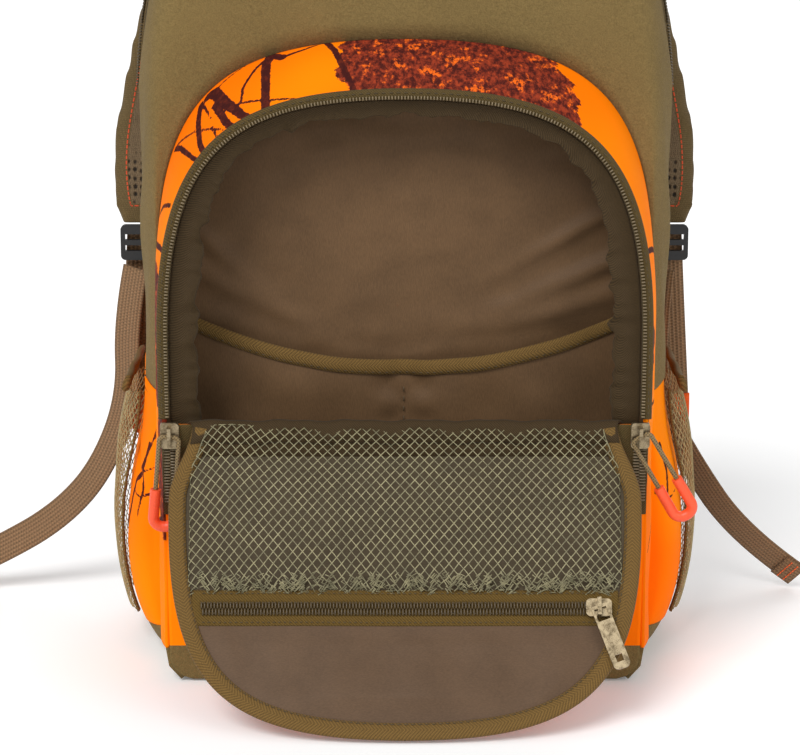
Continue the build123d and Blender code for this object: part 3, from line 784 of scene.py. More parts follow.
def route_line(name, route):
    """Points read from the route's smooth curve, in metres."""
    curve = bpy.data.curves.new(name, "CURVE")
    curve.dimensions = "3D"
    spline = curve.splines.new("NURBS")
    spline.points.add(len(route) - 1)
    for point, (x, z) in zip(spline.points, route):
        point.co = (x, TAIL_Y, z, 1)
    spline.order_u = 3
    spline.use_endpoint_u = True
    curve.resolution_u = 16
    obj = bpy.data.objects.new(name, curve)
    mesh = bpy.data.meshes.new_from_object(obj)
    points = np.array([v.co for v in mesh.vertices])
    bpy.data.objects.remove(obj)
    bpy.data.curves.remove(curve)
    bpy.data.meshes.remove(mesh)
    return points


def add_tail(side):
    path = route_line(f"tail_route_{side}", TAILS[side])
    along = np.gradient(path, axis=0)
    along /= np.linalg.norm(along, axis=1)[:, None]
    wide = math.cos(TAIL_LEAN) * np.cross(along, (0, 1, 0)) - math.sin(TAIL_LEAN) * np.array((0, 1, 0))
    tail = strap(f"tail_{side}", path / MM, wide, TAIL_WIDE / MM, TAIL_THICK / MM, WEBBING)
    ride(tail, "pack", "webbing", f"adjuster_tail_{side}")
    # the end is folded back over itself and stitched
    run = lengths(path)
    end = path[run > run[-1] - 0.014] / MM
    up = np.cross(along[-1], wide[-1])
    if up[1] > 0:
        up = -up
    fold = strap(f"tail_fold_{side}", end + 1.7 * up, wide[-1], 19.6, 1.5, WEBBING)
    ride(fold, "pack", "webbing")
    rows = []
    for back in (2.4, 11.4):
        middle = path[np.argmin(abs(run - (run[-1] - back * MM)))] / MM + 2.7 * up
        for k in range(7):
            a = middle + (k - 3) * 2.5 * wide[-1] - 0.85 * wide[-1]
            rows.append([a, a + 0.2 * up + 0.85 * wide[-1], a + 1.7 * wide[-1]])
    stitches = tubes(f"tail_stitches_{side}", rows, 0.42, ORANGE_THREAD)
    ride(stitches, "pack", "orange_fabric")


for side in TAILS:
    add_tail(side)


# ---------------- main compartment
N_SIDE = 190  # columns from one foot to the crown


def skin_rows(low, high, columns, inner, ys, plate_rows=9):
    """Rows of the right half: from the front pocket's wall across the front, then back along the side."""
    first = spaced(above(inner, low(FRONT_Y), high and high(FRONT_Y)), columns)
    edge = spaced(above(body_outline(FRONT_Y), low(FRONT_Y), high and high(FRONT_Y)), columns)
    rows = []
    for t in np.linspace(0, 1, plate_rows)[:-1]:
        flat = first + (edge - first) * t
        rows.append(np.insert(flat, 1, FRONT_Y, axis=1))
    for y in ys:
        ring = spaced(above(body_outline(y), low(y), high and high(y)), columns)
        rows.append(np.insert(ring, 1, y, axis=1))
    grid = np.array(rows)
    for _ in range(10):  # rounds the corner between front and side
        soft = grid.copy()
        soft[1:-1] = 0.25 * grid[:-2] + 0.5 * grid[1:-1] + 0.25 * grid[2:]
        rounded = (grid[1:-1, :, 1] < -26)[..., None]
        grid[1:-1] = np.where(rounded, soft[1:-1], grid[1:-1])
    return grid


def settle(grid, amount, size, seed, hold=0):
    """Soft hollows and swells of unpadded cloth. The first rows can be held."""
    push = cloud(grid * (1, 1.6, 0.55), size, seed) * amount
    if hold:
        push[:hold] *= np.linspace(0, 1, hold)[:, None]
    return grid + normals_of(grid) * push[..., None]


def panel(name, grid, facing, materials, thick, cloth=True, offset=-1.0):
    """A sheet of cloth through a grid, turned so that its face looks the way of facing."""
    middle = normals_of(grid)[grid.shape[0] // 2, grid.shape[1] // 2]
    if middle @ np.asarray(facing, float) < 0:
        grid = grid[:, ::-1]
    attributes = {"cloth": cloth_of(grid)} if cloth else {}
    obj = add_mesh(name, grid, quads(*grid.shape[:2]), materials, **attributes)
    return thicken(obj, thick, offset=offset)


POCKET_BACK = pocket_outline(BAND_HALF, BAND_TOP)
SKIN_Y = (-45, -42.5, -40, -37.5, -35, -32.5, -30, -27, -24, -21, -19.6, -17.5, -15.6, -14, -12.4, -10.5)
SKIN_Y += (-8.4, -7, -2, 4, 12, 20, 28, 36, 44, 52, 60, 67, 73, 78, 82, 85, 88)


def fleece_skin():
    half = skin_rows(seam_z, None, N_SIDE, POCKET_BACK, SKIN_Y)
    grid = both_sides(half)
    grid = settle(grid, 1.5, 60, 3.0, hold=5)
    folds = hump(grid[..., 1], -22, 9) * hump(grid[..., 2], 265, 90)
    grid[..., 0] += np.sign(grid[..., 0]) * folds * 1.6 * np.sin(grid[..., 2] / 14 + grid[..., 1] / 6)
    y = grid[..., 1]
    tape = (y > -21.5) & (y < -6.5) & (grid[..., 2] > 331)
    upward = 1 if normals_of(grid)[20, N_SIDE, 2] > 0 else -1
    grid = grid + normals_of(grid) * (0.5 * tape)[..., None] * upward
    cloth = cloth_of(grid)
    cloth[..., 1] = y + 14
    is_tape = (tape[:-1, :-1] & tape[1:, 1:] & tape[1:, :-1] & tape[:-1, 1:]).ravel()
    cut = 8 + SKIN_Y.index(-14)
    columns = grid.shape[1]
    flip = normals_of(grid)[20, N_SIDE, 2] < 0
    front, back = (slice(0, cut + 1), slice(0, cut)), (slice(cut, None), slice(cut, None))
    for name, (part, rows) in (("fleece_front", front), ("fleece_back", back)):
        piece, coat = grid[part], cloth[part]
        index = is_tape.reshape(-1, columns - 1)[rows]
        if flip:
            piece, coat, index = piece[:, ::-1], coat[:, ::-1], index[:, ::-1]
        coats = [FLEECE, TWILL, LINING, LINING]
        obj = add_mesh(name, piece, quads(*piece.shape[:2]), coats, indices=index.ravel(), cloth=coat)
        thicken(obj, 2.0, inner=2)
        if name == "fleece_front":
            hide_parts("lid_panel", "front_surround")
            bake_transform(obj)
        else:
            ride(obj, "pack", "fleece", "top_panel", "upper_side_left", "upper_side_right")


fleece_skin()


def print_on(at, strokes, blots):
    return {"branch": stroke_field(at, strokes), "bark": blot_field(at, blots)}


def lower_sides():
    half = skin_rows(lambda y: FOOT_Z, seam_z, 120, POCKET_BACK, SKIN_Y)
    dense = np.array([spaced(column, 150) for column in half.transpose(1, 0, 2)]).transpose(1, 0, 2)
    for side, sign in (("left", -1), ("right", 1)):
        grid = dense * (sign, 1, 1)
        grid = settle(grid, 1.8, 42, 7.0 + sign, hold=6)
        if sign < 0:
            slanted = grid[..., 2] - 0.9 * (grid[..., 1] + 40)
            creases = hump(slanted, 105, 3.4) * hump(grid[..., 1], -20, 26)
            grid[..., 0] += 2.2 * creases
        grid = grid if sign < 0 else grid[:, ::-1]
        if normals_of(grid)[80, 60, 0] * sign < 0:
            grid = grid[:, ::-1]
        at = np.stack([lengths_along(grid), grid[..., 2]], axis=-1)
        seed = 21 if sign < 0 else 34
        strokes = random_branches(seed, (34, 30), (150, 170), 9, 4.4)
        strokes.append((2.6, 1.2, ((8, 128), (13, 112), (12, 98), (16, 84))))
        strokes.append((1.8, 0.8, ((4, 100), (14, 96), (24, 99))))
        blots = [(128, 60, 26, 60)]
        prints = print_on(at, strokes, blots)
        obj = add_mesh(f"camo_side_{side}", grid, quads(*grid.shape[:2]), [CAMO, LINING], **prints)
        thicken(obj, 2.0, inner=1)
        ride(obj, "pack", "blaze_camo", f"lower_side_{side}")


def lengths_along(grid):
    """How far each point is from the first row, along its column."""
    out = np.zeros(grid.shape[:2])
    out[1:] = np.cumsum(np.linalg.norm(np.diff(grid, axis=0), axis=2), axis=0)
    return out


lower_sides()


def base_skin():
    half = skin_rows(lambda y: 0.8, lambda y: FOOT_Z, 12, POCKET_BACK, SKIN_Y)
    for side, sign in (("left", -1), ("right", 1)):
        grid = half * (sign, 1, 1)
        if normals_of(grid)[20, 6, 0] * sign < 0:
            grid = grid[:, ::-1]
        obj = add_mesh(f"base_side_{side}", grid, quads(*grid.shape[:2]), [FLEECE, LINING])
        thicken(obj, 2.0, inner=1)
        ride(obj, "pack", "fleece")
    # the bottom, one shallow tray under both compartments
    rows = []
    for y in (-84, -78, -70, -60, -50, -46, -44, -40, -30, -10, 20, 50, 76, 84, 88):
        half = 127.0 if y <= -45 else 139 - smooth_table(y, STATION_Y, STATION_NARROWER)
        if y < -70:
            half = 122.0
        x = np.linspace(-half, half, 40)
        rows.append(np.stack([x, np.full(40, y), 0.9 + 0.25 * np.sin(x / 19) * np.sin(y / 17)], axis=1))
    grid = np.array(rows)
    obj = add_mesh("base_floor", grid[:, ::-1], quads(*grid.shape[:2]), [FLEECE, LINING])
    thicken(obj, 2.0, inner=1, offset=-1.0)
    ride(obj, "pack", "fleece", "base_panel")


base_skin()

# ---------------- front pocket
# Branches printed on the band, in mm: round the arch from its top to the right, and back from the rim.
BAND_STROKES = (
    (5.6, 5.0, ((-71, 54), (-74, 44), (-75, 25), (-77, 2))),
    (2.2, 1.8, ((-72, 53), (-80, 45), (-88, 32), (-90, 20))),
    (2.2, 1.2, ((-99, 22), (-91, 19), (-75, 9), (-58, 2))),
    (3.4, 1.0, ((-71, 54), (-63, 47), (-54, 49), (-43, 53))),
    (5.0, 5.0, ((-68, 50), (-65, 46))),
    (7.5, 4.5, ((-110, 52), (-106, 50), (-99, 28), (-91, 8), (-86, 0))),
    (5.0, 4.0, ((-106, 36), (-101, 12), (-97, 1))),
    (1.5, 1.1, ((-108, 50), (-98, 53), (-86, 55))),
    (4.6, 3.6, ((-116, 52), (-119, 36), (-120, 14), (-118, 0))),
    (1.8, 1.2, ((-140, 50), (-120, 29), (-103, 6))),
    (3.2, 2.6, ((-143, 52), (-136, 38), (-127, 11), (-122, 0))),
    (2.2, 1.0, ((-115, 52), (-112, 38), (-110, 27))),
    (2.0, 1.0, ((-110, 17), (-107, 0))),
    (2.0, 2.4, ((-178, 50), (-166, 34), (-157, 16))),
    (3.6, 3.0, ((-194, 52), (-183, 22), (-177, 0))),
    (3.6, 3.2, ((-41, 53), (-37, 42), (-34, 27), (-28, 3))),
    (2.6, 3.4, ((200, 52), (192, 40), (186, 26), (178, 4))),
    (2.4, 1.6, ((262, 50), (270, 30), (266, 12), (272, 0))),
    (3.0, 1.4, ((300, 2), (310, 24), (306, 50))),
    (2.2, 1.2, ((330, 50), (338, 28), (352, 6))),
    (3.4, 1.6, ((-330, 4), (-338, 26), (-352, 50))),
)
BAND_BARK = ((26, 26, 62, 60), (58, 8, 40, 50), (-232, 20, 36, 60), (-300, 2, 40, 16), (236, 6, 18, 22))


def band():
    grid = band_grid(330, 46)
    depth = lengths_along(grid)
    share = depth / depth[-1]
    outward = normals_of(grid)
    if outward[20, grid.shape[1] // 2, 2] < 0:
        outward = -outward
    swell = 2.0 * np.sin(math.pi * share) + cloud(grid, 46, 5.0) * 1.2 * np.sin(math.pi * share)
    grid = grid + outward * swell[..., None]
    run = np.concatenate([[0], np.cumsum(np.linalg.norm(np.diff(grid[0], axis=0), axis=1))])
    at = np.stack([np.broadcast_to(run[len(run) // 2] - run, depth.shape), depth], axis=-1)
    if normals_of(grid)[20, grid.shape[1] // 2, 2] < 0:
        grid, at = grid[:, ::-1], at[:, ::-1]
    prints = print_on(at, BAND_STROKES, BAND_BARK)
    obj = add_mesh("pocket_band", grid, quads(*grid.shape[:2]), [CAMO, LINING], **prints)
    thicken(obj, 2.6, inner=1)
    ride(obj, "pack", "blaze_camo", "gusset_left", "gusset_right", "gusset_top")
    # fleece foot under the band's two sides
    foot = band_grid(40, 12, low=0.8)
    count = int((foot[0, :40, 2] <= 22.5).sum())
    for side, columns in (("left", slice(-count, None)), ("right", slice(0, count))):
        part = foot[:, columns]
        sign = 1 if side == "right" else -1
        if normals_of(part)[5, count // 2, 0] * sign < 0:
            part = part[:, ::-1]
        piece = add_mesh(f"pocket_foot_{side}", part, quads(*part.shape[:2]), [FLEECE, LINING])
        thicken(piece, 2.4, inner=1)
        ride(piece, "pack", "fleece")


band()


def lower_front():
    """The panel behind the hanging flap: camouflage above, fleece at the foot."""
    v = np.linspace(-155, -1.5, 90)
    rows = []
    for at in v:
        z = 155 + at * PANEL.along[2]
        half = 133.6 - (14 - math.sqrt(max(0.0, 14**2 - max(0.0, 15 - z) ** 2)) if z < 15 else 0)
        u = np.linspace(half, -half, 150)
        rows.append(PANEL.at(u, at, 0.3))
    grid = np.array(rows)
    if normals_of(grid)[40, 60, 1] > 0:
        grid = grid[:, ::-1]
    at = np.stack([grid[..., 0], grid[..., 2]], axis=-1)
    low = (grid[:-1, :-1, 2] < FOOT_Z).ravel()
    strokes = random_branches(8, (-120, 30), (120, 150), 10, 5.0)
    prints = print_on(at, strokes, [(-40, 60, 46, 30), (90, 120, 30, 22)])
    coats = [CAMO, FLEECE, LINING, LINING]
    obj = add_mesh("pocket_front", grid, quads(*grid.shape[:2]), coats, indices=low.astype(int), **prints)
    thicken(obj, 2.2, inner=2)
    ride(obj, "pack", "blaze_camo", "lower_front_panel")


lower_front()


# ---------------- the mouth's zip, facing and lining
def arch_rows(sheet, points, normals, profile):
    """A strip round an arch: profile has (inset, height) for each row, either of them as an array too."""
    rows = []
    for inset, w in profile:
        inset = np.broadcast_to(inset, len(points))[:, None]
        flat = points - normals * inset
        rows.append(sheet.at(flat[:, 0], flat[:, 1], w))
    return np.array(rows)


def frames(sheet, points, normals, inset, w):
    """Places on an arch with their along, across and up directions."""
    rows = arch_rows(sheet, points, normals, ((inset - 0.5, w), (inset + 0.5, w), (inset, w + 1.0)))
    origin = (rows[0] + rows[1]) / 2
    across = rows[1] - rows[0]
    across /= np.linalg.norm(across, axis=1)[:, None]
    along = np.gradient(origin, axis=0)
    along /= np.linalg.norm(along, axis=1)[:, None]
    return origin, along, across, np.cross(along, across)


TOOTH_PITCH = 1.75


def mouth_zip():
    points, normals = arch(520, low=2.0)
    # zip tape: folded over the rim and sewn down on the band
    inner_edge = ((-0.1, -4.8), (-0.2, -2.6), (-0.4, -0.6), (-1.0, 0.4), (-2.4, 0.9))
    outer_edge = ((-4.6, 0.9), (-5.9, 0.3), (-6.3, -1.2), (-6.3, -3.4), (-5.5, -4.2))
    grid = arch_rows(MOUTH, points, normals, inner_edge + outer_edge)
    fine = []
    for a, b in zip(grid[:-1], grid[1:]):
        fine += [a, a + (b - a) * 0.5]
    grid = np.array(fine + [grid[-1]])
    if normals_of(grid)[5, 260, 1] > 0:
        grid = grid[:, ::-1]
    tape = add_mesh("mouth_zip_tape", grid, quads(*grid.shape[:2]), [TWILL], cloth=cloth_of(grid))
    thicken(tape, 0.5)
    ride(tape, "pack", "zip_coil")
    seam = arch_rows(MOUTH, points, normals, ((-4.0, 1.35),))[0]
    stitch = [seam[i : i + 3] for i in range(2, len(seam) - 4, 4)]
    ride(tubes("mouth_zip_stitches", stitch, 0.22, THREAD), "pack", "zip_coil")
    count = int(lengths(points)[-1] / TOOTH_PITCH)
    points, normals = arch(count, low=3.5)
    origin, along, across, up = frames(MOUTH, points, normals, -1.3, 1.6)
    row = teeth("mouth_zip_teeth", origin, along, across, up, (0.95, 2.1, 1.6), TEETH)
    ride(row, "pack", "zip_coil", "front_zip_coil")


mouth_zip()


def grid_area(grid):
    """A grid's area in square metres, as the cloth's flat size before it hangs or creases."""
    across, up = np.diff(grid[:-1], axis=1), np.diff(grid[:, :-1], axis=0)
    return float(np.linalg.norm(np.cross(across, up), axis=2).sum()) * MM**2


def mouth_facing():
    """The loose, gathered strip of cloth inside the zip."""
    points, normals = arch(620, low=-3.0)
    along = lengths(points)
    middle = along[-1] / 2
    away = np.abs(along - middle) / middle  # 0 at the top of the arch, 1 at the fold
    width = 8.5 + 7.0 * np.clip((away - 0.25) / 0.4, 0, 1) ** 1.3
    ruffle = np.array([noise.noise(Vector((s / 13.0, 2.0, 0))) for s in along])
    ruffle += 0.6 * np.array([noise.noise(Vector((s / 5.5, 9.0, 0))) for s in along])
    rows = []
    for t in np.linspace(0, 1, 12):
        inset = 0.2 + (width + 3.4 * ruffle * t) * t
        drop = -4.6 - 2.6 * math.sin(t * math.pi / 2) - 3.4 * t**1.2 * ruffle
        flat = points - normals * inset[:, None]
        rows.append(MOUTH.at(flat[:, 0], flat[:, 1], drop))
    grid = np.array(rows)
    cloth = cloth_of(grid)
    if normals_of(grid)[5, 310, 1] > 0:
        grid, cloth = grid[:, ::-1], cloth[:, ::-1]
    obj = add_mesh("zip_facing_cloth", grid, quads(*grid.shape[:2]), [FACING], cloth=cloth)
    thicken(obj, 0.6, offset=0.0)
    ride(obj, "pack", "zip_coil", "zip_facing")
    grid_area(grid) * 1.03


mouth_facing()


def upright(outline, x, y):
    """A flat grid at one Y that fills a half outline and its mirror image. x runs from -1 to 1."""
    z = np.repeat(outline[:, 1:], len(x), axis=1)
    return np.stack([outline[:, :1] * x, np.full(z.shape, y), z], axis=-1)


def divider():
    """The lining at the back of the front pocket, with soft creases."""
    outline = spaced(above(pocket_outline(138.4, 358.4), 6), 150)
    x = np.linspace(-1, 1, 170)
    grid = upright(outline, x, FRONT_Y)
    flat_area = grid_area(grid)
    u, z = grid[..., 0], grid[..., 2]
    edge = np.clip((1 - np.abs(x[None, :])) * 14, 0, 1) * np.clip((358 - z) / 10, 0, 1)
    crease = 0
    for x0, z0, slope, wide, reach, high in (
        (112, 262, 0.55, 5.0, 46, 4.4),
        (118, 236, 0.42, 6.0, 60, 5.0),
        (104, 214, 0.30, 7.0, 54, 3.8),
        (60, 205, 0.12, 9.0, 60, 2.0),
        (-108, 226, -0.5, 7.0, 40, 3.6),
        (-120, 255, -0.9, 7.0, 46, 2.8),
        (-40, 300, 0.1, 14.0, 60, 1.4),
    ):
        off_line = (z - z0) - slope * (u - x0)
        crease = crease + high * hump(off_line, 0, wide) * hump(u, x0, reach)
    swell = 5.5 * hump(u, 0, 85) * hump(z, 262, 70) + cloud(grid, 55, 4.0) * 2.6
    swell += cloud(grid * (1, 1, 2.2), 21, 8.0) * 0.7
    grid[..., 1] -= edge * np.maximum(crease + swell + 1.0, -1.5)
    obj = panel("divider_lining", grid, (0, -1, 0), [LINING], 1.2)
    ride(obj, "pack", "lining", "divider_panel")


divider()


def organizer_top(x):
    """How high the organizer pocket stands at each x: its edge hangs in a curve from its two ends."""
    t = (np.asarray(x, float) / 122 + 1) / 2
    return 202 - 106 * t * (1 - t)


def organizer():
    x = np.linspace(-122, 122, 190)
    rows = []
    share = np.linspace(0, 1, 60)
    slack = 5.0 * np.sin(math.pi * np.abs(x) / 122) ** 0.8
    for t in share:
        z = 9 + (organizer_top(x) - 9) * t
        y = -53.4 - slack * t**1.6 
        rows.append(np.stack([x, y, z], axis=1))
    grid = np.array(rows)
    flat_area = grid_area(grid)
    u, z = grid[..., 0], grid[..., 2]
    pucker = 1.1 * np.sin(z / 3.4) * hump(np.abs(u), 9, 8) + 1.8 * cloud(grid, 30, 6.0)
    pucker += 1.4 * cloud(grid * (1, 1, 0.35), 16, 2.0) * hump(u, 0, 60)
    grid[..., 1] += hump(u, 0, 9) * 2.6 * share[:, None] - pucker * np.clip((122 - np.abs(u)) / 16, 0, 1)
    grid[..., 1] = np.minimum(grid[..., 1], -51.6)
    obj = panel("organizer_cloth", grid, (0, -1, 0), [LINING], 0.9, cloth=False)
    ride(obj, "pack", "lining", "organizer_pocket")
    # the herringbone binding folded over its edge
    top = grid[-1]
    rings = []
    front_side = ((-1.0, -4.0), (-1.25, -0.5), (-1.1, 3.5), (-0.3, 4.7))
    back_side = ((0.6, 3.5), (0.9, -0.5), (0.8, -4.0), (0.0, -4.2))
    for dy, dz in front_side + back_side:
        rings.append(top + (0, dy, dz))
    binding = sweep("organizer_edge", np.array(rings).transpose(1, 0, 2), [BINDING])
    ride(binding, "pack", "binding_tape", "organizer_binding")
    lines = []
    front = grid + (0, -0.9, 0)
    for i in range(2, 56, 2):
        lines.append(front[i : i + 2, 94] + (0, -0.3, 0))
    for k in range(2, 186, 3):
        lines.append(top[k : k + 2] + (0, -1.5, -2.6))
    ride(tubes("organizer_stitches", lines, 0.28, THREAD), "pack", "lining")


organizer()


# ---------------- the flap
def flap_rim(n):
    """The flap's outline, narrower at the fold, with outward normals."""
    full, _ = arch(900, low=43.0)
    near = bezier(((117.5, 3.0), (119.5, 18), (129.8, 28), (130, 43)), 60)
    half = np.concatenate([near, full[3:450]])
    whole = np.concatenate([half, [[0, MOUTH_LONG]], half[::-1] * (-1, 1)])
    points = spaced(whole, n)
    step = np.gradient(points, axis=0)
    for _ in range(4):
        step[1:-1] = (step[:-2] + 2 * step[1:-1] + step[2:]) / 4
    step /= np.linalg.norm(step, axis=1)[:, None]
    return points, np.stack([step[:, 1], -step[:, 0]], axis=1)


RIM, RIM_OUT = flap_rim(560)


def flap_wave(grid, amount=1.0):
    """The open flap isn't quite flat."""
    lean = np.clip((HINGE[2] - grid[..., 2]) / 90, 0, 1)
    return grid + FLAP.out * (cloud(grid * (1, 0.4, 0.7), 70, 12.0) * 1.1 * amount * lean)[..., None]


def flap_cloth():
    half = RIM[:281] - RIM_OUT[:281] * 1.6
    half = spaced(half, 130)
    x = np.linspace(-1, 1, 150)
    u = half[:, :1] * x
    v = np.repeat(half[:, 1:], 150, axis=1)
    inner = FLAP.at(u, v, -0.9)
    low = 1.6 * hump(v, 150, 22) * (1 + np.cos(u / 30))
    low += 0.9 * (1 + cloud(np.stack([u, v * 0.5, 0 * u], -1), 24, 3.0))
    low = low * np.clip((v - 114) / 10, 0, 1) * np.clip((MOUTH_LONG - 10 - v) / 14, 0, 1)
    low = low * np.clip((half[:, :1] - 10 - np.abs(u)) / 12, 0, 1)
    inner = flap_wave(inner - FLAP.out * low[..., None])
    if normals_of(inner)[60, 75] @ FLAP.out > 0:
        inner, u, v = inner[:, ::-1], u[:, ::-1], v[:, ::-1]
    # the part under the net takes the darker lining: painted shade under the net
    painted_shade_under_net = (v[:-1, :-1] < MESH_END).ravel()
    coats = [FLAP_LINING, NET_LINING_PAINTED_SHADE]
    obj = add_mesh("flap_lining_cloth", inner, quads(*inner.shape[:2]), coats, indices=painted_shade_under_net)
    thicken(obj, 0.4, offset=1.0)
    ride(obj, "flap", "lining")
    outer = flap_wave(FLAP.at(u, v, 1.1))[:, ::-1]
    at = np.stack([u, v], axis=-1)[:, ::-1]
    strokes = random_branches(5, (-110, 20), (110, 160), 10, 5.0)
    prints = print_on(at, strokes, [(60, 70, 40, 34), (-70, 120, 36, 26)])
    cover = add_mesh("flap_cover", outer, quads(*outer.shape[:2]), [CAMO, CAMO], **prints)
    thicken(cover, 1.4)
    ride(cover, "flap", "blaze_camo", "flap_panel")


flap_cloth()


def flap_edge():
    inside = ((9.6, -1.3), (9.7, -2.1), (7.6, -2.8), (4.8, -3.0), (2.2, -2.8), (0.6, -2.0))
    outside = ((0.1, -0.6), (0.3, 0.9), (1.6, 1.5), (3.2, 1.3), (3.4, 0.4), (2.0, -0.4))
    grid = arch_rows(FLAP, RIM, RIM_OUT, inside + outside)
    grid = flap_wave(grid)
    rings = grid.transpose(1, 0, 2)
    obj = sweep("flap_edge_binding", rings, [BINDING])
    ride(obj, "flap", "binding_tape", "flap_binding")
    seam = flap_wave(arch_rows(FLAP, RIM, RIM_OUT, ((8.7, -2.75),)))[0]
    stitches = tubes("flap_edge_stitches", [seam[i : i + 3] for i in range(2, 554, 4)], 0.26, THREAD)
    ride(stitches, "flap", "binding_tape")
    points, normals = arch(int(470 / TOOTH_PITCH), low=44.0)
    origin, along, across, up = frames(FLAP, points, normals, 2.0, 2.3)
    origin = flap_wave(origin)
    row = teeth("flap_edge_teeth", origin, along, across, up, (0.95, 2.4, 1.6), TEETH)
    ride(row, "flap", "zip_coil", "flap_edge_coil")
    # the tape that carries them
    points, normals = arch(400, low=40.0)
    grid = flap_wave(arch_rows(FLAP, points, normals, ((0.6, 1.6), (3.0, 1.9), (6.0, 1.9), (9.5, 1.8))))
    tape = panel("flap_edge_tape", grid, FLAP.out, [TWILL], 0.5)
    ride(tape, "flap", "zip_coil")


flap_edge()


def rim_half(v):
    """Half the flap's width at a distance from the fold."""
    return np.interp(v, RIM[:281, 1], RIM[:281, 0])


def flap_zip():
    rows = []
    upper = ((93.4, -1.7), (95.0, -1.9), (98.5, -2.1), (100.5, -2.2), (104, -2.2))
    lower = ((107.5, -2.2), (109.5, -2.1), (112.4, -1.9), (113.4, -1.5))
    for v, w in upper + lower:
        half = min(float(rim_half(v)) - 9.0, 116.0)
        rows.append(FLAP.at(np.linspace(-half, half, 220), v, w))
    tape = panel("flap_tape", flap_wave(np.array(rows)), -FLAP.out, [FLAP_TAPE], 0.6)
    ride(tape, "flap", "zip_coil", "flap_zip_tape")
    u = np.arange(-110.5, 110.5, TOOTH_PITCH)
    origin, along, across, up = [], [], [], []
    for shift, v in ((0.0, FLAP_ZIP_V - 1.85), (TOOTH_PITCH / 2, FLAP_ZIP_V + 1.85)):
        here = FLAP.at(u + shift, v, -3.0)
        origin.append(flap_wave(here))
        along.append(np.tile((1.0, 0, 0), (len(u), 1)))
        across.append(np.tile(FLAP.along, (len(u), 1)))
        up.append(np.tile(-FLAP.out, (len(u), 1)))
    places = [np.concatenate(part) for part in (origin, along, across, up)]
    row = teeth("flap_zip_teeth", *places, (1.1, 4.1, 1.9), TEETH_DARK)
    ride(row, "flap", "zip_coil", "flap_zip_coil")
    # the sewing threads along the coil's two sides
    lines = []
    for v in (FLAP_ZIP_V - 2.9, FLAP_ZIP_V + 2.9, FLAP_ZIP_V - 8.6, FLAP_ZIP_V + 7.6):
        height = -4.1 if abs(v - FLAP_ZIP_V) < 4 else -2.75
        rail = flap_wave(FLAP.at(np.linspace(-110, 110, 300), v, height))
        lines += [rail[i : i + 3] for i in range(0, 296, 4)]
    ride(tubes("flap_zip_stitches", lines, 0.25, THREAD), "flap", "zip_coil")


flap_zip()
FLAT_FLAP = Sheet(FLAP.along, bowed=False)


def net_height(v):
    """The mesh pocket's side view, through its three measured places."""
    a, b, c = (5, -2.0), (48, -11.0), (93, 5.6)
    out = 0
    for (x0, y0), (x1, _), (x2, _) in ((a, b, c), (b, a, c), (c, a, b)):
        out = out + y0 * (v - x1) * (v - x2) / ((x0 - x1) * (x0 - x2))
    return out


def net_surface(u, v):
    edge = np.clip((118 - np.abs(u)) / 22, 0, 1)
    surface_w = np.sqrt(np.maximum(BOW_R**2 - (v - MOUTH_LONG / 2) ** 2, 1)) - (BOW_R - BOW) - 2.0
    w = surface_w + (net_height(v) - surface_w) * edge**0.6
    left = hump(u, -104, 38) * hump(v, 4, 40)
    gather = 1.4 * np.array([noise.noise(Vector((a / 14, b / 40, 1.0))) for a, b in zip(u, v)])
    pulled = 5.0 * left * np.sin(np.clip((u + 118) / 50, 0, 1) * math.pi)
    v_shown = v - pulled - 1.2 * hump(v, MESH_END, 9) * np.sin(u / 2.3)
    width = np.minimum(rim_half(np.clip(v, 6, 100)) - 8.5, 118)
    u_shown = np.clip(u, -width, width)
    drop = -1.2 * hump(v, 8, 8) * np.sin(u / 5.5)
    return flap_wave(FLAT_FLAP.at(u_shown, np.maximum(v_shown, 2.0), w + gather * edge + drop * edge))


def flap_net():
    lines = net_lines(net_surface, (-119, 119), (3.5, 94), 5.3, 5.9)
    rng = random.Random(4)
    for _ in range(300):  # the crumpled cut edge above the zip tape
        u, v = rng.uniform(-115, 115), rng.uniform(85, 94)
        du = rng.choice((-1, 1)) * rng.uniform(1.6, 3.0)
        us = np.array((u, u + du, u + 0.2 * du, u + 1.3 * du))
        vs = np.array((v, v + 1.6, v + 3.0, v + 4.2)) - 1.0
        lines.append(net_surface(us, np.minimum(vs, 95.5)) - FLAP.out * rng.uniform(0, 1.0))
    net = tubes("flap_net", lines, 0.31, NET)
    ride(net, "flap", "open_mesh", "flap_mesh")


flap_net()


def fold_painted_shade_strip():
    """A dark strip in the facing's cloth on the flap beside the fold, under the net: painted shade near the
    fold.
    """
    section = ((2.5, -1.2), (6, -2.0), (11, -2.3), (16, -2.1), (19.5, -1.2))
    rows = [FLAP.at(np.linspace(-115, 115, 200), v, w) for v, w in section]
    strip = panel("fold_painted_shade_strip", flap_wave(np.array(rows)), -FLAP.out, [FACING], 0.5)
    ride(strip, "flap", "lining")


fold_painted_shade_strip()


# the fold from inside the pocket to the flap: half width, y and z
FOLD_SECTION = (
    (122, -98.5, 146.0),
    (122, -99.6, 150.0),
    (121, -101.0, 153.6),
    (119, -103.0, 155.6),
    (118, -105.0, 155.4),
    (117, -106.6, 153.2),
    (117.5, -108.6, 149.0),
    (118.2, -110.8, 145.0),
)


def fold_cloth():
    """Plain cloth round the fold, from inside the pocket to the flap."""
    rows = []
    for u_half, y, z in FOLD_SECTION:
        u = np.linspace(-u_half, u_half, 120)
        ripple = 0.7 * np.sin(u / 6.0) + 0.5 * np.sin(u / 2.9 + 1)
        rows.append(np.stack([u, np.full(120, y) + 0.3 * ripple, z + 0.5 * ripple], axis=1))
    obj = panel("fold_cloth", np.array(rows), (0, 0, 1), [FACING], 1.2, offset=0.0)
    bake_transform(obj)


fold_cloth()


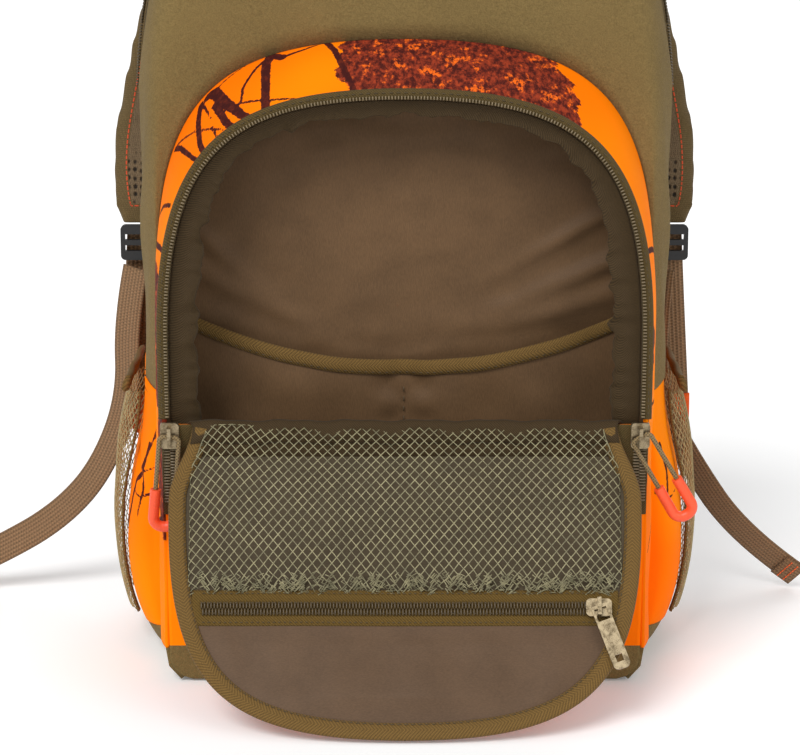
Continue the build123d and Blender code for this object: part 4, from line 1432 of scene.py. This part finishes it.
# ---------------- closed zips beside the flap, main zip
def side_chains():
    for side, sign in (("left", -1), ("right", 1)):
        v = np.arange(-46, -4, TOOTH_PITCH)
        two_rows = ((-1.75, 0), (1.75, TOOTH_PITCH / 2))
        origin = np.concatenate([PANEL.at(sign * 130 + off, v + shift, 1.7) for off, shift in two_rows])
        ways = [np.tile(way, (len(origin), 1)) for way in (PANEL.along, (1.0, 0, 0), PANEL.out)]
        row = teeth(f"chain_teeth_{side}", origin, *ways, (1.1, 3.9, 1.9), TEETH)
        ride(row, "pack", "zip_coil", f"front_zip_chain_{side}")
        rows = []
        over = ((-15.5, 0.3), (-13, 0.8), (-7, 0.9), (-3.4, 1.1), (3.0, 1.1))
        down = ((4.4, 0.8), (4.9, -1.0), (5.1, -4.0))
        for off, w in over + down:
            rows.append(PANEL.at(np.full(50, sign * (130 + off)), np.linspace(-54, -1, 50), w))
        tape = panel(f"chain_tape_{side}", np.array(rows), PANEL.out, [TWILL], 0.5)
        ride(tape, "pack", "zip_coil")


side_chains()


def main_zip():
    pack_row = ("main_zip_coil", -12.15, 332.5, "pack", 0.0)
    lid_row = ("lid_zip_coil", -15.85, 367.5, "lid", 0.5)
    for name, y, low, body, shift in (pack_row, lid_row):
        half = above(body_outline(y), low)
        whole = np.concatenate([half, half[::-1][1:] * (-1, 1)])
        count = int(lengths(whole)[-1] / TOOTH_PITCH)
        flat = spaced(whole, 2 * count + 1)[int(2 * shift) :: 2]
        step = np.gradient(flat, axis=0)
        step /= np.linalg.norm(step, axis=1)[:, None]
        out = np.stack([step[:, 1], 0 * step[:, 0], -step[:, 0]], axis=1)
        along = np.insert(step, 1, 0, axis=1)
        origin = np.insert(flat, 1, y, axis=1) + out * 1.5
        across = np.tile((0, 1.0, 0), (len(origin), 1))
        row = teeth(f"{name}_teeth", origin, along, across, out, (1.1, 3.9, 1.9), TEETH_DARK)
        ride(row, body, "zip_coil", name)


main_zip()


# ---------------- padded straps and back pads, simulated
def outline_distance(points, outline):
    """Distance inside a closed outline, and the run along it, for points in the same plane."""
    tree = KDTree(len(outline))
    for k, (a, b) in enumerate(outline):
        tree.insert((a, b, 0), k)
    tree.balance()
    run = lengths(outline)
    found = [tree.find((a, b, 0)) for a, b in points]
    return np.array([f[2] for f in found]), np.array([run[f[1]] for f in found])


def strap_outline():
    """The right strap as seen from behind: x and z, round its edge."""
    outer = chain(
        line((50, 452), (94, 452), 20),
        bezier(((98, 452), (146, 440), (164, 385), (180, 300)), 120),
        bezier(((180, 300), (186, 268), (182, 245), (177, 234)), 50),
    )
    inner = chain(
        bezier(((150, 234), (130, 262), (114, 300), (103, 330)), 70),
        bezier(((103, 330), (88, 372), (50, 400), (46, 448)), 90),
    )
    return spaced(chain(outer, inner, line((46, 448), (50, 452), 4)), 700)


def pad_outline(centre, width, height, corner):
    (x, z), turn = centre, np.linspace(0, math.pi / 2, 24)
    points = []
    for sx, sz, start in ((1, 1, 0), (-1, 1, 1), (-1, -1, 2), (1, -1, 3)):
        x0, z0 = x + sx * (width / 2 - corner), z + sz * (height / 2 - corner)
        points += [(x0 + corner * math.cos(t), z0 + corner * math.sin(t)) for t in turn + start * math.pi / 2]
    return spaced(np.array(points + points[:1]), 600)


def puffed(node, voxel_mm, swell_mm, frames=20):
    """The node's solid as sewn cloth blown up from inside, its movement held to a few millimetres."""
    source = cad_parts[node]
    mesh = source.data.copy()
    mesh.transform(source.matrix_world)
    mesh.materials.clear()
    obj = bpy.data.objects.new(f"{node}_cloth", mesh)
    bpy.context.scene.collection.objects.link(obj)
    remesh = obj.modifiers.new("even", "REMESH")
    remesh.mode, remesh.voxel_size = "VOXEL", voxel_mm * MM
    finished(obj)
    start = np.array([v.co for v in obj.data.vertices])
    cloth = obj.modifiers.new("cloth", "CLOTH")
    settings = cloth.settings
    settings.quality, settings.mass = 5, 0.3
    settings.tension_stiffness = settings.compression_stiffness = 18
    settings.shear_stiffness, settings.bending_stiffness = 10, 0.6
    settings.use_pressure, settings.uniform_pressure_force = True, 4.0
    settings.effector_weights.gravity = 0.0
    cloth.collision_settings.use_collision = False
    cloth.collision_settings.use_self_collision = False
    scene = bpy.context.scene
    cloth.point_cache.frame_start, cloth.point_cache.frame_end = 1, frames
    for number in range(1, frames + 1):
        scene.frame_set(number)
    finished(obj)
    scene.frame_set(1)
    moved = np.array([v.co for v in obj.data.vertices]) - start
    size = np.linalg.norm(moved, axis=1)
    limit = swell_mm * MM
    moved *= (limit * np.tanh(size / limit) / np.maximum(size, 1e-9))[:, None]
    return obj, start + moved


def dress(obj, points, outline, flat, face, material):
    """Writes the simulated points and what the material needs to know about each of them."""
    mesh = obj.data
    mesh.vertices.foreach_set("co", np.asarray(points, np.float32).ravel())
    mesh.update()
    smooth = obj.modifiers.new("fine", "SUBSURF")
    smooth.levels = smooth.render_levels = 1
    finished(obj)
    mesh = obj.data
    here = np.array([v.co for v in mesh.vertices]) / MM
    edge, along = outline_distance(flat(here), outline)
    for name, values in (("edge", edge), ("along", along), ("mesh_side", face(here, mesh))):
        mesh.attributes.new(name, "FLOAT", "POINT").data.foreach_set("value", np.asarray(values, np.float32))
    mesh.materials.clear()
    mesh.materials.append(material)
    mesh.polygons.foreach_set("use_smooth", np.ones(len(mesh.polygons), bool))
    return here, edge


def sewn(edge, depth, line_at=9.7, wide=2.6):
    """How far a stitched line pulls the cloth in."""
    return depth * hump(edge, line_at, wide)


def shoulder_straps():
    outline = strap_outline()
    for side, sign in (("left", -1), ("right", 1)):
        obj, points = puffed(f"shoulder_strap_{side}", 5.0, 3.2)
        here = points / MM
        edge, _ = outline_distance(np.stack([abs(here[:, 0]), here[:, 2]], axis=1), outline)
        middle_y = np.interp(here[:, 2], (234, 340, 452), (104, 107, 93)) + 3.5
        pull = sewn(edge, 1.5) * np.sign(here[:, 1] - middle_y)
        points[:, 1] -= pull * MM
        creases = cloud(here, 34, 5.0 + sign) * 0.9
        points[:, 1] += creases * MM
        dress(
            obj,
            points,
            outline,
            lambda p: np.stack([abs(p[:, 0]), p[:, 2]], axis=1),
            lambda p, mesh: np.array([v.normal.y < 0.15 for v in mesh.vertices], float),
            STRAP,
        )
        ride(obj, "pack", "strap_fabric", f"shoulder_strap_{side}")


def back_pads():
    pads = (
        ("back_pad_left", (-62, 270), 84, 250, 26),
        ("back_pad_right", (62, 270), 84, 250, 26),
        ("lumbar_pad", (0, 84), 216, 96, 30),
    )
    for node, centre, width, height, corner in pads:
        outline = pad_outline(centre, width, height, corner)
        obj, points = puffed(node, 5.0, 3.0)
        here = points / MM
        edge, _ = outline_distance(here[:, ::2], outline)
        outer = here[:, 1] > 95
        points[:, 1] -= outer * sewn(edge, 1.8) * MM
        to_channel = (here[:, 2] - centre[1] + 41) % 83 - 41
        channels = 1.6 * hump(to_channel, 0, 5.0) * np.clip((edge - 11) / 8, 0, 1)
        points[:, 1] -= outer * channels * MM
        points[:, 1] = np.maximum(points[:, 1], 92.25 * MM)
        dress(
            obj,
            points,
            outline,
            lambda p: p[:, ::2],
            lambda p, mesh: np.array([v.normal.y > 0.3 for v in mesh.vertices], float),
            PAD,
        )
        ride(obj, "pack", "spacer_mesh", node)


shoulder_straps()
back_pads()


# ---------------- back, webbing and side pockets
def back_skin():
    outline = spaced(above(body_outline(90), 9), 150)
    x = np.linspace(-1, 1, 120)
    grid = upright(outline, x, 91.6)
    quiet = np.clip((1 - np.abs(x[None, :])) * 8, 0, 1)
    grid[..., 1] += quiet * (0.5 * cloud(grid, 40, 7.0) - 0.3)
    obj = panel("back_cloth", grid, (0, 1, 0), [OLIVE], 3.4, cloth=False)
    ride(obj, "pack", "back_fabric", "back_panel")
    # a corded seam where the back meets the sides
    half = spaced(above(body_outline(88), 9), 240)
    ring = np.concatenate([half, half[::-1][1:] * (-1, 1), [half[0] + (-2, 0), half[0]]])
    path = np.insert(spaced(ring, 620), 1, 88.8, axis=1)
    piping = tubes("back_piping", [path], 2.1, OLIVE, sides=10)
    ride(piping, "pack", "back_fabric")


back_skin()


def adjusters():
    for side, sign in (("left", -1), ("right", 1)):
        turn = math.radians(3.5) * sign
        down = np.array((math.sin(turn), 0, -math.cos(turn)))
        origin = np.array((sign * 163.5, 109.2, 216.0))
        s = np.linspace(-14, 96, 60)
        path = origin + s[:, None] * down
        path[:, 1] += 0.6 * np.sin(s / 22)
        across = (math.cos(turn), 0, math.sin(turn))
        web = strap(f"adjuster_web_cloth_{side}", path, across, 20, 1.6, WEBBING)
        ride(web, "pack", "webbing", f"adjuster_web_{side}")
        rows = []
        for t in np.linspace(0, 1, 40):
            x = 112 + 67.5 * t
            low = np.interp(x, (112, 150, 164, 176, 181), (88, 90, 96, 107, 112))
            high = np.interp(x, (112, 158, 179), (120, 124, 126))
            z = np.linspace(low, high, 18)
            y = 105.6 + 1.0 * math.sin(math.pi * t) + 0.5 * np.sin(z / 5)
            rows.append(np.stack([np.full(18, sign * x), y, z], axis=1))
        wing = panel(f"wing_cloth_{side}", np.array(rows), (0, 1, 0), [ORANGE], 2.4, cloth=False, offset=0.2)
        ride(wing, "pack", "orange_fabric", f"anchor_wing_{side}")
        block = ((0, 0), (0.5, -0.02), (1, 0), (1, 0.5), (1, 1), (0.5, 1.02), (0, 1), (0, 0.5))[::sign]
        depths = (92.2, 96, 100, 104, 105.4)
        rings = [[(sign * (113 + 12 * a), y, 88.6 + 31 * b) for a, b in block] for y in depths]
        back = sweep(f"wing_root_{side}", rings, ORANGE)
        ride(back, "pack", "orange_fabric")
        lines = []
        for off in (-6.5, 6.5):
            for a in range(0, 26, 4):
                one = origin + (62 + a) * down + (off, 1.15, 0)
                lines.append([one, one + 1.2 * down + (0, 0.35, 0), one + 2.6 * down])
        ride(tubes(f"web_stitches_{side}", lines, 0.35, ORANGE_THREAD), "pack", "webbing")


adjusters()


def haul_loop():
    curve = bezier(((-42, 446), (-40, 512), (40, 512), (42, 446)), 120)
    path = np.insert(curve, 1, 98.0, axis=1)
    path[:, 1] += 1.0 * np.sin(np.linspace(0, math.pi, len(path)))
    loop = strap("haul_loop_cloth", path, (0, 1, 0), 11.6, 3.0, WEBBING)
    ride(loop, "pack", "webbing", "haul_loop")


haul_loop()


def side_pockets():
    for side, sign in (("left", -1), ("right", 1)):
        profile = bezier(((166, 20), (176, 50), (178, 110), (163, 156)), 90)
        share = np.linspace(0, 1, len(profile))
        wall = above(body_outline(-10), 15, 170)
        wall_x, wall_z = wall[:, 0] + 1.8, wall[:, 1]

        def surface(u, v):
            """u runs back over the pocket, v runs up it; both in millimetres."""
            part = np.clip((v - 20) / 136, 0, 1)
            z = np.interp(part, share, profile[:, 1])
            wall = np.interp(z, wall_z, wall_x)
            full = 1 - (np.abs(u - 22) / 44) ** 2.6
            x = wall + (np.interp(part, share, profile[:, 0]) - wall) * full
            bulge = 1.0 * np.array([noise.noise(Vector((a / 30, b / 30, 3.0))) for a, b in zip(u, v)])
            return np.stack([sign * (x + bulge * full * np.sin(math.pi * part)), u, z], axis=1)

        lines = net_lines(surface, (-21, 65), (21, 154), 4.4, 5.6, step=1.8)
        # the yarn's extra brightness is painted light
        net = tubes(f"side_net_{side}", lines, 0.3, SIDE_NET_PAINTED_LIGHT)
        ride(net, "pack", "open_mesh", f"side_pocket_{side}")
        y = np.linspace(-23, 67, 90)
        rings = []
        outer = ((161.0, 155.4), (163.2, 154.6), (164.6, 156.6), (163.6, 160.6))
        inner = ((161.8, 164.2), (159.8, 164.6), (158.8, 162.8), (160.0, 158.6))
        for a, b in outer + inner:
            wave = 0.5 * np.sin(y / 7.0)
            rings.append(np.stack([sign * (a + wave), y, b + 0 * y], axis=1))
        hem = sweep(f"side_hem_{side}", np.array(rings).transpose(1, 0, 2), BINDING)
        ride(hem, "pack", "binding_tape", f"side_pocket_hem_{side}")
        for end, at in (("front", -21.5), ("rear", 65.5)):
            z = np.linspace(22, 156, 80)
            line_x = np.interp(z, wall_z, wall_x)
            path = np.stack([sign * line_x, np.full(80, at), z], axis=1)
            seam = strap(f"side_seam_{side}_{end}", path, (0, 1, 0), 5.0, 1.4, BINDING)
            ride(seam, "pack", "binding_tape")


side_pockets()


# ---------------- hardware that keeps its CAD shape
def paint_node(material, *nodes):
    for name in nodes:
        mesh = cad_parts[name].data
        mesh.materials.clear()
        mesh.materials.append(material)


paint_node(BRASS, "flap_zip_slider", "flap_zip_pull")
for side in ("left", "right"):
    paint_node(BRASS, f"front_slider_{side}", f"main_slider_{side}")
    paint_node(CORD, f"front_pull_cord_{side}", f"main_pull_cord_{side}")
    paint_node(RUBBER, f"front_pull_tube_{side}", f"main_pull_tube_{side}")
    paint_node(PLASTIC, f"ladder_lock_{side}")


# ---------------- floor and light
FLOOR_HALF, FLOOR_Z = 6000, -0.4  # mm


def studio():
    glow = {"Emission_Color": (1, 1, 1, 1), "Emission_Strength": 0.14}
    floor_paint = Paint("floor", (0.93, 0.93, 0.93), 0.9, **glow)
    corners = [(FLOOR_HALF * x, FLOOR_HALF * y, FLOOR_Z) for x, y in ((-1, -1), (1, -1), (1, 1), (-1, 1))]
    floor = add_mesh("floor", corners, [[0, 1, 2, 3]], floor_paint.material, smooth=False)
    world = bpy.data.worlds.new("studio")
    bpy.context.scene.world = world
    world.use_nodes = True
    world.node_tree.nodes["Background"].inputs[0].default_value = (1, 1, 1, 1)
    world.node_tree.nodes["Background"].inputs[1].default_value = 0.45
    for name, place, power, spread in (
        ("key", (-0.55, -1.0, 1.05), 2.1, 28),
        ("fill", (0.9, -1.1, 0.75), 0.75, 40),
        ("back", (0.3, 1.3, 0.9), 0.7, 40),
    ):
        data = bpy.data.lights.new(name, "SUN")
        data.energy, data.angle = power, math.radians(spread)
        lamp = bpy.data.objects.new(name, data)
        lamp.rotation_euler = Vector(place).to_track_quat("Z", "Y").to_euler()
        bpy.context.scene.collection.objects.link(lamp)


studio()
bpy.context.scene.view_settings.view_transform = "Standard"
